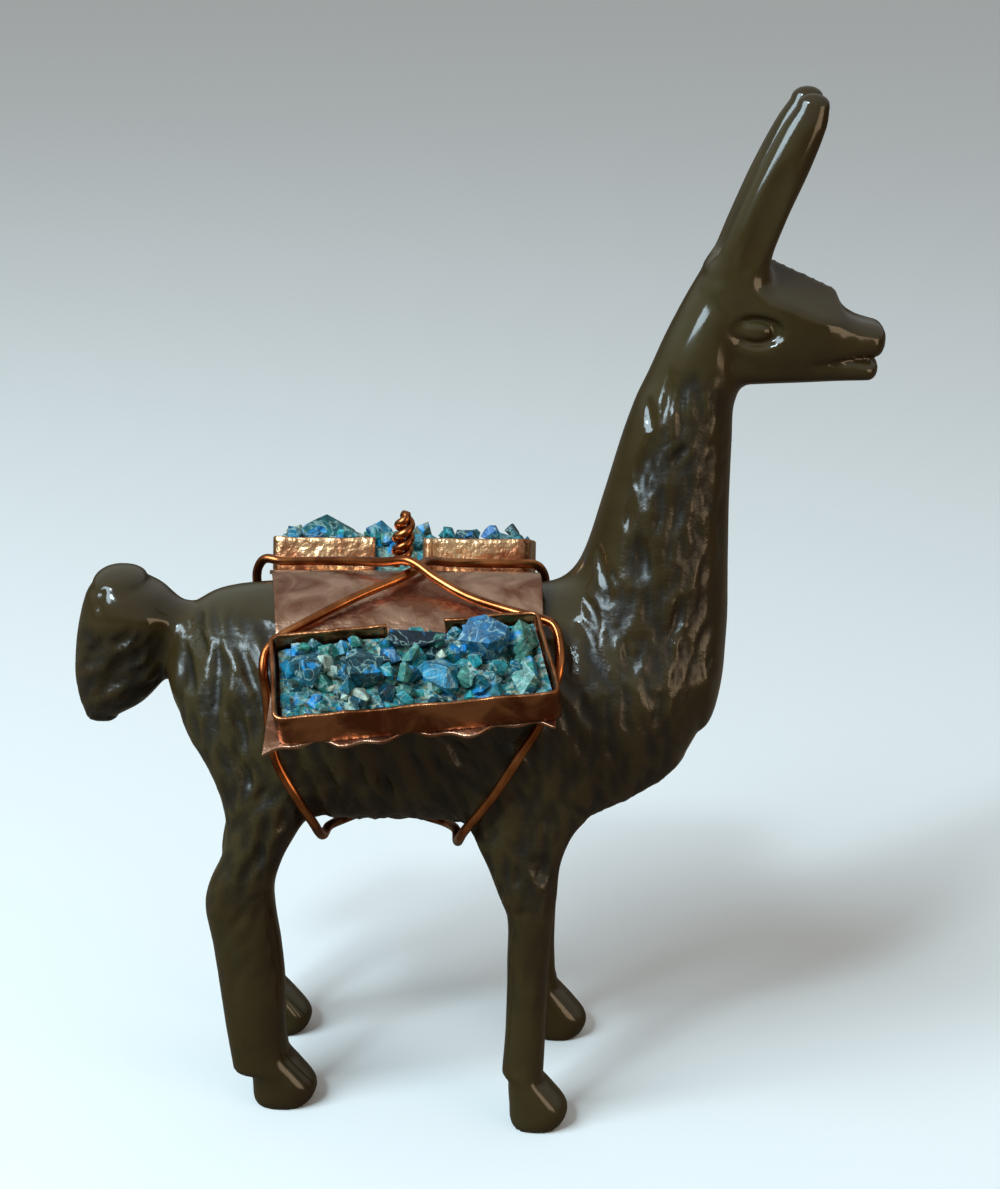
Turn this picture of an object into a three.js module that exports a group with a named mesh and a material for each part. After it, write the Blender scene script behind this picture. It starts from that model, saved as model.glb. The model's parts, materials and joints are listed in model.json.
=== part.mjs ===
// A carved stone llama with a copper pack saddle: a sheet of copper over its back carries a tray on each
// side, each tray is heaped with stone chips, and two loops of copper wire bind the saddle on.
// Millimetres, +Z up, the llama faces +X, its right flank is at -Y. The origin is under the middle of the
// figure's box, on the surface that it stands on.
import * as THREE from "three";

// Driving dimensions.
const BOX_MIDDLE_X = -3.8; // middle of the figure's box, where x is 0 at the fore legs' front edge
const STONE_CELL = 0.95; // size of the cells that the carving is worked out in
const STONE_TRIANGLES = 6900;
const SOLE = 0.12; // what is lower than this is flat on the ground
const CLEARANCE = 0.32; // between pieces that touch
const SHEET = 0.5; // thickness of the copper sheet
const WIRE = 1.15; // diameter of the binding wire
const TRAY_WIDTH = 12; // inside
const CHIP_CELL = 0.6;
const CHIP_TRIANGLES = 390; // in each heap

// Looks.
const finish = (color, roughness, metalness) =>
  new THREE.MeshStandardMaterial({ color, roughness, metalness });
const STONE = finish(0x3b372a, 0.18, 0);
const COPPER = finish(0xb5714d, 0.32, 1);
const CHIPS = finish(0x1c7486, 0.4, 0);

const FAR = 6; // further than this from a limb, its exact depth doesn't matter

// Small helpers.
const clamp = (v, low, high) => Math.min(Math.max(v, low), high);
const mix = (a, b, t) => a + (b - a) * t;

// The smaller and the larger of two depths, rounded where they are nearly equal.
function join(a, b, round) {
  const near = Math.max(round - Math.abs(a - b), 0) / round;
  return Math.min(a, b) - (near * near * round) / 4;
}
const cut = (a, b, round) => -join(-a, -b, round);

// A smooth curve through the rows of a table, one value for each column, by the first column.
function throughRows(rows, samples = 80) {
  const first = rows[0][0];
  const last = rows[rows.length - 1][0];
  const width = rows[0].length - 1;
  const table = [];
  let k = 0;
  for (let i = 0; i <= samples; i++) {
    const at = mix(first, last, i / samples);
    while (k < rows.length - 2 && at > rows[k + 1][0]) k++;
    const [a, b] = [rows[k], rows[k + 1]];
    const [before, after] = [rows[Math.max(k - 1, 0)], rows[Math.min(k + 2, rows.length - 1)]];
    const span = b[0] - a[0];
    const t = (at - a[0]) / span;
    const value = [];
    for (let c = 1; c <= width; c++) {
      const slopeA = ((b[c] - before[c]) / (b[0] - before[0])) * span;
      const slopeB = ((after[c] - a[c]) / (after[0] - a[0])) * span;
      const t2 = t * t;
      const t3 = t2 * t;
      value.push(
        (2 * t3 - 3 * t2 + 1) * a[c] + (t3 - 2 * t2 + t) * slopeA +
          (3 * t2 - 2 * t3) * b[c] + (t3 - t2) * slopeB,
      );
    }
    table.push(value);
  }
  return { first, last, samples, table };
}

// How far a value is outside a range.
const past = (v, low, high) => (v < low ? low - v : v > high ? v - high : 0);

// A limb of stone: rounded slices along X or Z, from rows that give the edges of each slice. It closes
// with a round cap past its first and last rows. The result gives the depth of a point: below 0 inside.
function limb({ along, rows, square = 2.3, caps = [1, 1] }) {
  const curve = throughRows(rows);
  const scale = curve.samples / (curve.last - curve.first);
  const column = (c) => curve.table.map((row) => row[c]);
  const [sideLow, sideHigh] = [Math.min(...column(0)), Math.max(...column(1))];
  const [yLow, yHigh] = [Math.min(...column(2)), Math.max(...column(3))];
  return (x, y, z) => {
    const at = along === "x" ? x : z;
    const side = along === "x" ? z : x;
    const away = Math.max(
      past(at, curve.first - caps[0], curve.last + caps[1]),
      past(side, sideLow, sideHigh),
      past(y, yLow, yHigh),
    );
    if (away > FAR) return away;
    const held = clamp(at, curve.first, curve.last);
    const place = (held - curve.first) * scale;
    const i = Math.min(Math.floor(place), curve.samples - 1);
    const part = place - i;
    const a = curve.table[i];
    const b = curve.table[i + 1];
    const low = mix(a[0], b[0], part);
    const high = mix(a[1], b[1], part);
    const right = mix(a[2], b[2], part);
    const left = mix(a[3], b[3], part);
    const halfSide = (high - low) / 2;
    const halfY = (left - right) / 2;
    const u = Math.abs(side - (low + high) / 2) / halfSide;
    const v = Math.abs(y - (right + left) / 2) / halfY;
    const around = Math.max((u ** square + v ** square) ** (1 / square), 1e-3);
    const cap = at < held ? caps[0] : caps[1];
    const beyond = Math.abs(at - held) / cap;
    const size = Math.sqrt(around * around + beyond * beyond);
    const steep = around ** (2 - square) / size;
    const slopeSide = (steep * u ** (square - 1)) / halfSide;
    const slopeY = (steep * v ** (square - 1)) / halfY;
    const slopeCap = beyond / (cap * size);
    const slope = Math.sqrt(slopeSide ** 2 + slopeY ** 2 + slopeCap ** 2);
    return (size - 1) / Math.max(slope, 0.5 / Math.max(halfSide, halfY));
  };
}

// The same slices on both sides of the middle: the last column is half the width.
const even = (rows) => rows.map(([at, low, high, half]) => [at, low, high, -half, half]);

// A ball with its own radius along each axis.
function ball(cx, cy, cz, rx, ry, rz) {
  return (x, y, z) => {
    const [u, v, w] = [(x - cx) / rx, (y - cy) / ry, (z - cz) / rz];
    const size = Math.max(Math.hypot(u, v, w), 1e-3);
    return ((size - 1) * size) / Math.max(Math.hypot(u / rx, v / ry, w / rz), 1e-3);
  };
}

// The llama's limbs. Rows along X: x, lowest z, highest z, half width. Rows along Z: z, back, front and
// half width, or z, back, front, right and left.
const torso = limb({
  along: "x",
  square: 2.15,
  caps: [2.5, 2],
  rows: even([
    [-37, 48, 60.9, 6.2],
    [-34, 43.8, 62.5, 9.8],
    [-29, 39, 63.3, 12.8],
    [-21, 35.4, 63.8, 13.9],
    [-11, 35.3, 64.2, 14.1],
    [1, 35.3, 64.3, 14.3],
    [9, 35.9, 64.1, 14],
    [15, 38.2, 63.3, 13.2],
    [20, 42.3, 62.3, 11.4],
    [24, 49.1, 61.3, 8.4],
  ]),
});
const neck = limb({
  along: "z",
  square: 2.35,
  caps: [3, 2.5],
  rows: even([
    [45.4, 4, 22.8, 9.8],
    [49.4, 4.5, 24.4, 10.5],
    [53.4, 5.2, 25.3, 10.9],
    [57.4, 6, 26.1, 10.8],
    [63.4, 7.6, 26.9, 10.2],
    [69.3, 10, 26.8, 9.3],
    [76.3, 12, 26.6, 8.4],
    [83.3, 13.9, 26.6, 7.7],
    [87.4, 15.2, 26.6, 7.3],
    [90.6, 16.6, 27.4, 7],
    [95.3, 18.5, 27.4, 6.6],
    [100.3, 20.9, 29, 5.9],
    [102.8, 22.4, 29.6, 5.4],
  ]),
});
const skull = limb({
  along: "x",
  square: 3,
  caps: [2.5, 1.5],
  rows: even([
    [24.5, 93.3, 103.9, 5.4],
    [28, 91.2, 105.7, 6.2],
    [32, 90.8, 105.9, 6.1],
    [36.2, 91.3, 104.3, 5.6],
    [38.2, 92.3, 99.7, 5],
    [39.8, 93.2, 98.3, 4.6],
    [42.1, 93.6, 97.6, 4],
  ]),
});
const jaw = limb({
  along: "x",
  square: 2.6,
  caps: [2, 1.4],
  rows: even([
    [27, 90, 95.8, 5.2],
    [36, 90.6, 95.3, 4.7],
    [41.5, 90.9, 93.7, 3.8],
  ]),
});
const tail = limb({
  along: "z",
  square: 2.2,
  caps: [1, 1.6],
  rows: even([
    [46.7, -50.2, -46.2, 2.4],
    [48.8, -50.8, -42.8, 4.3],
    [51.8, -51.2, -40.4, 5.4],
    [55.8, -51, -39.2, 6],
    [59.8, -50.3, -38.2, 6.2],
    [62.3, -49.6, -40, 5.6],
    [63.6, -48.8, -42.4, 4.8],
  ]),
});

// An ear, the same on both sides of the head.
function ear(side) {
  const rows = [
    [101.8, 23, 29.6, 1.4, 6],
    [105.3, 24, 29.9, 1.7, 6.4],
    [109.3, 25.5, 31.2, 2, 6.7],
    [115.3, 28, 33.6, 2.1, 6.5],
    [119.8, 30.2, 35.1, 2.4, 6.1],
    [122.1, 31.7, 35.3, 2.8, 5.6],
  ].map(([z, back, front, inner, outer]) =>
    side < 0 ? [z, back, front, -outer, -inner] : [z, back, front, inner, outer],
  );
  return limb({ along: "z", square: 2.2, caps: [2, 1.3], rows });
}

// The legs: rows of z, back, front, right and left, down to the cuff of wool, and then the foot.
const rightHindLeg = limb({
  along: "z",
  square: 2.5,
  caps: [1, 3],
  rows: [
    [4.9, -31.3, -24.2, -12.8, -5.9],
    [9.6, -32, -24.8, -12.8, -5.9],
    [14.9, -32.7, -24.8, -12.9, -5.9],
    [21.3, -33.5, -25.3, -13.1, -5.9],
    [26.3, -34.3, -26, -13.4, -5.9],
    [29.3, -33.8, -26, -13.6, -5.9],
    [32.8, -32.3, -24.9, -13.9, -5.2],
    [37.3, -31.8, -22.6, -14, -3.6],
    [42.3, -33.4, -21, -13.8, -1.5],
    [48.3, -37, -22, -12.4, -0.5],
    [52.3, -38, -24, -11, -0.5],
  ],
});
const leftHindLeg = limb({
  along: "z",
  square: 2.5,
  caps: [1, 3],
  rows: [
    [5.8, -33.6, -27.6, 6.1, 12.6],
    [9.6, -34, -28, 6.1, 12.7],
    [14.9, -34.6, -28.9, 6.1, 12.9],
    [21.3, -35, -28.7, 6.1, 13.1],
    [26.3, -35.2, -28.4, 6.1, 13.4],
    [32.8, -33.8, -27.2, 5.2, 13.8],
    [37.3, -32.8, -24, 3.4, 13.9],
    [42.3, -33.6, -21, 1.5, 13.7],
    [48.3, -37, -22, 0.5, 12.4],
    [52.3, -38, -24, 0.5, 11],
  ],
});
const rightForeLeg = limb({
  along: "z",
  square: 2.5,
  caps: [1, 3],
  rows: [
    [7, 1.9, 6.9, -15.4, -9.2],
    [12.8, 2.2, 7, -15.3, -9],
    [21.3, 2.2, 7.2, -15, -8.6],
    [26.9, 2.1, 7.6, -14.9, -8.2],
    [29.5, 1.1, 7.9, -14.9, -7.8],
    [33.3, -0.5, 8.2, -14.7, -6.8],
    [36.3, -2, 9.2, -14.5, -5.6],
    [41.3, -4, 12, -14, -3],
    [46.3, -4, 13, -13.2, -1.5],
  ],
});
const leftForeLeg = limb({
  along: "z",
  square: 2.5,
  caps: [1, 3],
  rows: [
    [7, 3.3, 7.9, 8.1, 14.3],
    [12.8, 3.3, 7.6, 8.1, 14.4],
    [21.3, 3, 7.8, 8, 14.5],
    [27.3, 2.4, 8.4, 7.6, 14.6],
    [33.3, 0, 8.8, 6.6, 14.6],
    [37.3, -1.6, 9.8, 5.2, 14.4],
    [41.3, -4, 12, 3, 14],
    [46.3, -4, 13, 1.5, 13.2],
  ],
});

// A foot: a rounded wedge from the heel to the toe, flat below.
function foot(heel, long, right, left) {
  return limb({
    along: "z",
    square: 2.4,
    caps: [1.2, 1.5],
    rows: [
      [-0.4, heel + 0.5, heel + long - 1.6, right + 0.6, left - 0.6],
      [0.8, heel + 0.1, heel + long - 0.4, right + 0.1, left - 0.1],
      [2.5, heel, heel + long, right, left],
      [4.8, heel - 0.2, heel + long - 1.7, right + 0.1, left - 0.1],
      [7.2, heel - 0.2, heel + long - 4, right + 0.4, left - 0.4],
    ],
  });
}
const feet = [
  foot(-28.9, 7.8, -12.7, -5.6),
  foot(-31.3, 7.4, 6.2, 12.8),
  foot(2.9, 7.0, -16.0, -9.1),
  foot(4.9, 7.1, 7.8, 14.4),
];

// The flat polished forehead: two planes that meet in a ridge, and slope down to the nose.
const FOREHEAD = { x: 31.6, z: 103.8, fall: 0.43, side: 0.62 };
function forehead(x, y, z) {
  const { fall, side } = FOREHEAD;
  const over = z - FOREHEAD.z + fall * (x - FOREHEAD.x) + side * Math.abs(y);
  return over / Math.hypot(1, fall, side);
}

// Eyes: an almond hollow on each side of the head with a smaller almond standing in it.
const EYE = { x: 28.1, y: 6.2, z: 97 };
const sockets = [-1, 1].map((s) => ball(EYE.x, s * EYE.y, EYE.z, 3.6, 1.5, 1.9));
const eyeballs = [-1, 1].map((s) => ball(EYE.x + 0.3, s * (EYE.y - 0.9), EYE.z, 1.9, 0.8, 1.15));

// The llama before its wool is carved.
const ears = [ear(-1), ear(1)];
function blank(x, y, z) {
  let body = join(torso(x, y, z), neck(x, y, z), 4);
  if (x < -30) body = join(body, tail(x, y, z), 2.6);
  if (z < 60) {
    const hind = Math.min(rightHindLeg(x, y, z), leftHindLeg(x, y, z));
    const fore = Math.min(rightForeLeg(x, y, z), leftForeLeg(x, y, z));
    body = join(body, Math.min(hind, fore), 3.2);
  }
  if (z < 14) for (const one of feet) body = join(body, one(x, y, z), 0.7);
  if (z > 82) {
    let head = join(cut(skull(x, y, z), forehead(x, y, z), 0.5), jaw(x, y, z), 0.5);
    for (const one of sockets) head = cut(head, -one(x, y, z), 0.5);
    for (const one of eyeballs) head = join(head, one(x, y, z), 0.25);
    body = join(body, head, 1.2);
    for (const one of ears) body = join(body, one(x, y, z), 1.6);
  }
  return cut(body, -z, 0.4);
}

// A cut of the carver's wheel: a lens-shaped scoop on both flanks, with its middle at x, z, its length
// turned by lean degrees from the vertical towards the head, and its middle pushed aside by bend.
const scoop = ([x, z, lean, length, width, depth, bend = 0]) => ({
  x, z, length, width, depth, bend,
  c: Math.cos((lean * Math.PI) / 180),
  s: Math.sin((lean * Math.PI) / 180),
  reach: length / 2 + width + Math.abs(bend),
});
function scoopDepth(one, x, z) {
  const [dx, dz] = [x - one.x, z - one.z];
  if (Math.abs(dx) > one.reach || Math.abs(dz) > one.reach) return 0;
  const u = (dx * one.s + dz * one.c) / (one.length / 2);
  const bow = 1 - u * u;
  if (bow <= 0) return 0;
  const v = (dx * one.c - dz * one.s - one.bend * bow) / (one.width / 2);
  return one.depth * Math.max(bow - v * v, 0);
}

// The locks of wool: x, z, lean, length, width, depth and bend of each scoop.
const LOCKS = 9; // along the belly
const scoops = [
  // tail
  [-47.5, 56.5, 34, 7, 1.8, 0.5], [-44.6, 57.9, 44, 5.6, 1.7, 0.45], [-45.4, 54, 41, 8.6, 2.4, 0.65],
  [-42.7, 56.4, 22, 5, 2, 0.45], [-45.3, 51.8, 57, 10, 1.5, 0.4, -0.6], [-47, 62.2, 12, 3.6, 0.9, 0.3],
  // rump
  [-35.4, 58.7, -38, 4.4, 2.6, 0.45], [-32.2, 55.1, -2, 9, 2.4, 0.6], [-28.5, 56.6, -23, 10.4, 2.3, 0.6],
  [-30.2, 50.5, -18, 7.6, 1.9, 0.5, 0.6], [-26.8, 60.6, -45, 2.8, 1.4, 0.35],
  // hip and hind leg
  [-29.3, 45.1, -25, 5.8, 1.6, 0.55], [-27.2, 41.6, 44, 3.8, 1.5, 0.5], [-24.6, 38.7, 19, 3.2, 1.2, 0.4],
  [-28.1, 35.1, 19, 10, 1.8, 0.55, 0.9], [-29.6, 26.3, 22, 3.8, 1.3, 0.4],
  // shoulder
  [11, 64, -32, 4.2, 1.4, 0.4], [10.5, 61.8, -37, 3.6, 1.5, 0.4], [12.1, 69.1, -11, 4.8, 1.5, 0.4],
  [13, 66.1, 16, 2.8, 1.5, 0.4],
  // neck
  [16.7, 82.1, 16, 7.8, 2, 0.65], [17, 86.8, -7, 4.4, 1.5, 0.45], [18.6, 89.4, 9, 6.6, 1.6, 0.45, 0.4],
  [20.6, 88, -12, 8, 1.4, 0.4, -0.4], [20.3, 81.9, 20, 5.4, 1.5, 0.45], [19.9, 76.1, -7, 7.6, 1.5, 0.45],
  [16.6, 71, 1, 5.6, 1.9, 0.6], [15, 75.6, 8, 4.4, 1.4, 0.4], [20.7, 64, 8, 6.4, 1.7, 0.5],
  [15.5, 59.7, -13, 5.8, 1.6, 0.45], [23.9, 83.8, 21, 1.8, 1, 0.25], [24.9, 58.5, 22, 2, 1, 0.25],
  // foreleg
  [6, 34.1, -1, 4, 2.5, 0.55], [3, 33, -5, 3.8, 1.2, 0.35], [4.2, 28.6, 72, 3, 1.1, 0.3],
  // mouth, and the flute of the ear
  [38.6, 93.6, 82, 8.4, 1, 0.35], [28.9, 109.6, 20, 14, 3.2, 0.6],
].map(scoop);
for (let i = 0; i < LOCKS; i++) {
  const t = i / (LOCKS - 1);
  const odd = i % 2;
  const [x, z] = [mix(-22.5, 3, t), mix(44.6, 49.4, t * t) - 1.2 * odd];
  scoops.push(scoop([x, z, mix(-4, -36, t), 6.6 - odd, 2.1, 0.55, 0.3]));
}
const carved = (x, z) => {
  let deepest = 0;
  for (const one of scoops) deepest = Math.max(deepest, scoopDepth(one, x, z));
  return deepest;
};

// The depth of a point in the carved stone, in true millimetres near the surface.
function stone(x, y, z) {
  const depth = blank(x, y, z);
  if (Math.abs(depth) > 3) return depth;
  const e = 0.05;
  const slope = Math.hypot(
    blank(x + e, y, z) - depth,
    blank(x, y + e, z) - depth,
    blank(x, y, z + e) - depth,
  ) / e;
  return depth / clamp(slope, 0.4, 2) + carved(x, z);
}

// A cell's corners, its edges as pairs of corners, and the rings of corners round its faces.
const CORNERS = [0, 1, 2, 3, 4, 5, 6, 7].map((c) => [c & 1, (c >> 1) & 1, c >> 2]);
const EDGES = CORNERS.flatMap((_, a) => [1, 2, 4].filter((bit) => !(a & bit)).map((bit) => [a, a | bit]));
const edgeBetween = (a, b) => EDGES.findIndex(([p, q]) => p === Math.min(a, b) && q === Math.max(a, b));
const RINGS = [0, 1, 2].flatMap((q) => {
  const [b, c] = [1 << (q + 1) % 3, 1 << (q + 2) % 3];
  return [0, 1 << q].map((base) => [base, base | b, base | b | c, base | c]);
});
const RING_EDGES = RINGS.map((ring) => ring.map((a, i) => edgeBetween(a, ring[(i + 1) % 4])));

// Sorts the crossed edges of a cell into the sheets of surface that pass through it. The result gives
// each crossed edge a number that is the same for the edges of one sheet.
function sheetsIn(values) {
  const crossed = EDGES.map(([a, b]) => values[a] < 0 !== values[b] < 0);
  const sheet = EDGES.map((_, e) => e);
  const link = (e, f) => {
    const [from, to] = [sheet[f], sheet[e]];
    sheet.forEach((v, i) => (sheet[i] = v === from ? to : v));
  };
  RINGS.forEach((ring, r) => {
    const ringEdges = RING_EDGES[r];
    const hit = ringEdges.filter((e) => crossed[e]);
    if (hit.length === 2) link(hit[0], hit[1]);
    if (hit.length === 4)
      ring.forEach((corner, i) => values[corner] < 0 && link(ringEdges[(i + 3) % 4], ringEdges[i]));
  });
  return sheet.map((v, e) => (crossed[e] ? v : -1));
}

// The surface where a depth is 0, as a closed net of triangles over cells of one size.
function netOver(depth, low, high, cell) {
  const n = low.map((v, i) => Math.ceil((high[i] - v) / cell) + 1);
  const id = (i, j, k) => (k * n[1] + j) * n[0] + i;
  const values = new Float64Array(n[0] * n[1] * n[2]);
  for (let k = 0; k < n[2]; k++)
    for (let j = 0; j < n[1]; j++)
      for (let i = 0; i < n[0]; i++)
        values[id(i, j, k)] = depth(low[0] + i * cell, low[1] + j * cell, low[2] + k * cell);
  const steps = [id(1, 0, 0), id(0, 1, 0), id(0, 0, 1)];
  const toCorner = CORNERS.map((c) => c[0] * steps[0] + c[1] * steps[1] + c[2] * steps[2]);
  const pointsOf = new Map();
  const points = [];
  for (let k = 0; k < n[2] - 1; k++)
    for (let j = 0; j < n[1] - 1; j++)
      for (let i = 0; i < n[0] - 1; i++) {
        const here = id(i, j, k);
        const v = toCorner.map((step) => values[here + step]);
        const inside = v.filter((value) => value < 0).length;
        if (inside === 0 || inside === 8) continue;
        const sheets = sheetsIn(v);
        const sums = new Map();
        sheets.forEach((sheet, e) => {
          if (sheet < 0) return;
          const [a, b] = EDGES[e];
          const t = v[a] / (v[a] - v[b]);
          const sum = sums.get(sheet) ?? [0, 0, 0, 0];
          sums.set(sheet, [...CORNERS[a].map((c, q) => sum[q] + mix(c, CORNERS[b][q], t)), sum[3] + 1]);
        });
        const numbers = new Map();
        for (const [sheet, sum] of sums) {
          numbers.set(sheet, points.length);
          points.push([i, j, k].map((c, q) => low[q] + (c + sum[q] / sum[3]) * cell));
        }
        pointsOf.set(here, sheets.map((sheet) => numbers.get(sheet)));
      }
  const faces = [];
  for (let k = 1; k < n[2] - 1; k++)
    for (let j = 1; j < n[1] - 1; j++)
      for (let i = 1; i < n[0] - 1; i++) {
        const here = id(i, j, k);
        for (let q = 0; q < 3; q++) {
          const inside = values[here] < 0;
          if (inside === values[here + steps[q]] < 0) continue;
          const [b, c] = [(q + 1) % 3, (q + 2) % 3];
          const ring = [[1, 1], [0, 1], [0, 0], [1, 0]].map(([backB, backC]) => {
            const corner = (backB << b) | (backC << c);
            const edge = edgeBetween(corner, corner | (1 << q));
            return pointsOf.get(here - backB * steps[b] - backC * steps[c])[edge];
          });
          if (!inside) ring.reverse();
          faces.push([ring[0], ring[1], ring[2]], [ring[0], ring[2], ring[3]]);
        }
      }
  return { points, faces };
}

// Moves each point of a net onto the surface, and the lowest ones onto the ground.
function settle(net, depth, most) {
  const e = 0.04;
  for (const p of net.points) {
    const start = [...p];
    for (let turn = 0; turn < 4; turn++) {
      const d = depth(...p);
      const g = [0, 1, 2].map((q) => {
        const step = [...p];
        step[q] += e;
        return (depth(...step) - d) / e;
      });
      const length = Math.max(g[0] * g[0] + g[1] * g[1] + g[2] * g[2], 0.3);
      for (let q = 0; q < 3; q++)
        p[q] = clamp(p[q] - (d * g[q]) / length, start[q] - most, start[q] + most);
    }
    if (p[2] < SOLE) p[2] = 0;
  }
}

// A heap of edges, with the one that costs least on top.
class Heap {
  items = [];
  push(item) {
    const a = this.items;
    let i = a.push(item) - 1;
    while (i > 0) {
      const up = (i - 1) >> 1;
      if (a[up].cost <= item.cost) break;
      a[i] = a[up];
      i = up;
    }
    a[i] = item;
  }
  pop() {
    const a = this.items;
    const top = a[0];
    const last = a.pop();
    if (!a.length) return top;
    let i = 0;
    for (;;) {
      let down = 2 * i + 1;
      if (down >= a.length) break;
      if (down + 1 < a.length && a[down + 1].cost < a[down].cost) down++;
      if (a[down].cost >= last.cost) break;
      a[i] = a[down];
      i = down;
    }
    a[i] = last;
    return top;
  }
}

const minus = (a, b) => [a[0] - b[0], a[1] - b[1], a[2] - b[2]];
const cross = (a, b) => [
  a[1] * b[2] - a[2] * b[1],
  a[2] * b[0] - a[0] * b[2],
  a[0] * b[1] - a[1] * b[0],
];
const dot = (a, b) => a[0] * b[0] + a[1] * b[1] + a[2] * b[2];

// Joins neighbouring points where that changes the shape least, until few enough triangles are left, so
// that flat polished stone takes few and carving takes many.
function thin({ points, faces }, wanted) {
  const around = points.map(() => new Set());
  const planes = points.map(() => new Float64Array(10));
  faces.forEach((f, i) => {
    const [a, b, c] = f.map((p) => points[p]);
    const normal = cross(minus(b, a), minus(c, a));
    const area = Math.max(Math.hypot(...normal), 1e-9);
    const [x, y, z] = normal.map((v) => v / area);
    const d = -dot([x, y, z], a);
    const terms = [x * x, x * y, x * z, x * d, y * y, y * z, y * d, z * z, z * d, d * d];
    for (const p of f) {
      around[p].add(i);
      terms.forEach((v, q) => (planes[p][q] += v * area));
    }
  });
  const changed = new Int32Array(points.length);
  const heap = new Heap();
  const neighbours = (p) => {
    const found = new Set();
    for (const f of around[p]) for (const other of faces[f]) found.add(other);
    found.delete(p);
    return found;
  };
  const weigh = (a, b) => {
    const k = planes[a].map((v, q) => v + planes[b][q]);
    const middle = points[a].map((v, q) => (v + points[b][q]) / 2);
    const cost = ([x, y, z]) =>
      k[0] * x * x + 2 * k[1] * x * y + 2 * k[2] * x * z + 2 * k[3] * x + k[4] * y * y +
      2 * k[5] * y * z + 2 * k[6] * y + k[7] * z * z + 2 * k[8] * z + k[9];
    const choices = [middle, points[a], points[b]];
    const rows = [[k[0], k[1], k[2]], [k[1], k[4], k[5]], [k[2], k[5], k[7]]];
    const right = [-k[3], -k[6], -k[8]];
    const volume = dot(rows[0], cross(rows[1], rows[2]));
    if (Math.abs(volume) > 1e-4) {
      const solve = (q) => {
        const turned = rows.map((row, i) => row.map((v, j) => (j === q ? right[i] : v)));
        return dot(turned[0], cross(turned[1], turned[2])) / volume;
      };
      const best = [solve(0), solve(1), solve(2)];
      if (Math.hypot(...minus(best, middle)) < 2) choices.unshift(best);
    }
    const to = choices.reduce((x, y) => (cost(y) < cost(x) ? y : x));
    const length = Math.hypot(...minus(points[a], points[b]));
    heap.push({ cost: cost(to) + 1e-4 * length * length, a, b, to, seen: changed[a] + changed[b] });
  };
  const turnsOver = (p, gone, to) => {
    for (const f of around[p]) {
      if (faces[f].includes(gone)) continue;
      const old = faces[f].map((q) => points[q]);
      const moved = faces[f].map((q) => (q === p ? to : points[q]));
      const before = cross(minus(old[1], old[0]), minus(old[2], old[0]));
      const after = cross(minus(moved[1], moved[0]), minus(moved[2], moved[0]));
      const size = Math.hypot(...after);
      const longest = Math.max(...moved.map((q, i) => Math.hypot(...minus(q, moved[(i + 1) % 3]))));
      if (size < 0.04 * longest * longest) return true;
      if (dot(before, after) < 0.35 * Math.hypot(...before) * size) return true;
    }
    return false;
  };
  points.forEach((_, p) => {
    for (const other of neighbours(p)) if (p < other) weigh(p, other);
  });
  let left = faces.length;
  while (left > wanted && heap.items.length) {
    const { a, b, to, seen } = heap.pop();
    if (!around[a] || !around[b] || seen !== changed[a] + changed[b]) continue;
    const others = neighbours(b);
    let shared = 0;
    for (const p of neighbours(a)) if (others.has(p)) shared++;
    if (shared !== 2 || turnsOver(a, b, to) || turnsOver(b, a, to)) continue;
    for (const f of around[b]) {
      if (faces[f].includes(a)) {
        for (const p of faces[f]) if (p !== b) around[p].delete(f);
        faces[f] = null;
        left--;
      } else {
        faces[f] = faces[f].map((p) => (p === b ? a : p));
        around[a].add(f);
      }
    }
    around[b] = null;
    points[a] = to[2] < SOLE ? [to[0], to[1], 0] : to;
    planes[a] = planes[a].map((v, q) => v + planes[b][q]);
    changed[a]++;
    for (const p of neighbours(a)) weigh(a, p);
  }
  return { points, faces: faces.filter(Boolean) };
}

function geometryOf({ points, faces }) {
  const geometry = new THREE.BufferGeometry();
  const corners = faces.flatMap((f) => f.flatMap((p) => points[p]));
  geometry.setAttribute("position", new THREE.Float32BufferAttribute(corners, 3));
  geometry.computeVertexNormals();
  return geometry;
}

function meshOf(name, geometry, material) {
  const mesh = new THREE.Mesh(geometry, material);
  mesh.name = name;
  return mesh;
}

function llama() {
  const net = netOver(stone, [-54, -20, -1.3], [46.5, 17.5, 125], STONE_CELL);
  settle(net, stone, STONE_CELL * 0.7);
  return meshOf("llama", geometryOf(thin(net, STONE_TRIANGLES)), STONE);
}

// The trays. Each has its own frame: u from its inner corner at the back towards the head, v outward
// across its floor, w up from its floor. Its inner and its outer wall reach past its length by the two
// flares at each end, and its wall is open on the inner side from one end of gap to the other.
const NEAR = {
  corner: [-23.9, -13.1, 58.3],
  yaw: 3,
  pitch: 6.6,
  tilt: 28.7,
  side: -1,
  length: 29,
  height: 4.6,
  innerFlare: [1, 0],
  outerFlare: [0.4, 1.6],
  gap: [12, 18.6],
  curl: 0,
};
const FAR_SIDE = {
  corner: [-28.5, 13, 61.5],
  yaw: 0,
  pitch: 1.1,
  tilt: 17,
  side: 1,
  length: 31.2,
  height: 4.2,
  innerFlare: [0, 0],
  outerFlare: [0.3, 0.5],
  gap: [12.4, 19],
  curl: 1.1,
};
function directions({ yaw, pitch, tilt, side }) {
  const [a, p, t] = [yaw, pitch, tilt].map(THREE.MathUtils.degToRad);
  const u = [Math.cos(a) * Math.cos(p), Math.sin(a) * Math.cos(p), Math.sin(p)];
  const level = [-side * Math.sin(a), side * Math.cos(a), 0];
  const up = cross(u, level).map((c) => side * c);
  const v = level.map((c, i) => c * Math.cos(t) - up[i] * Math.sin(t));
  const w = up.map((c, i) => c * Math.cos(t) + level[i] * Math.sin(t));
  return { u, v, w };
}
for (const tray of [NEAR, FAR_SIDE]) tray.axes = directions(tray);

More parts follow.
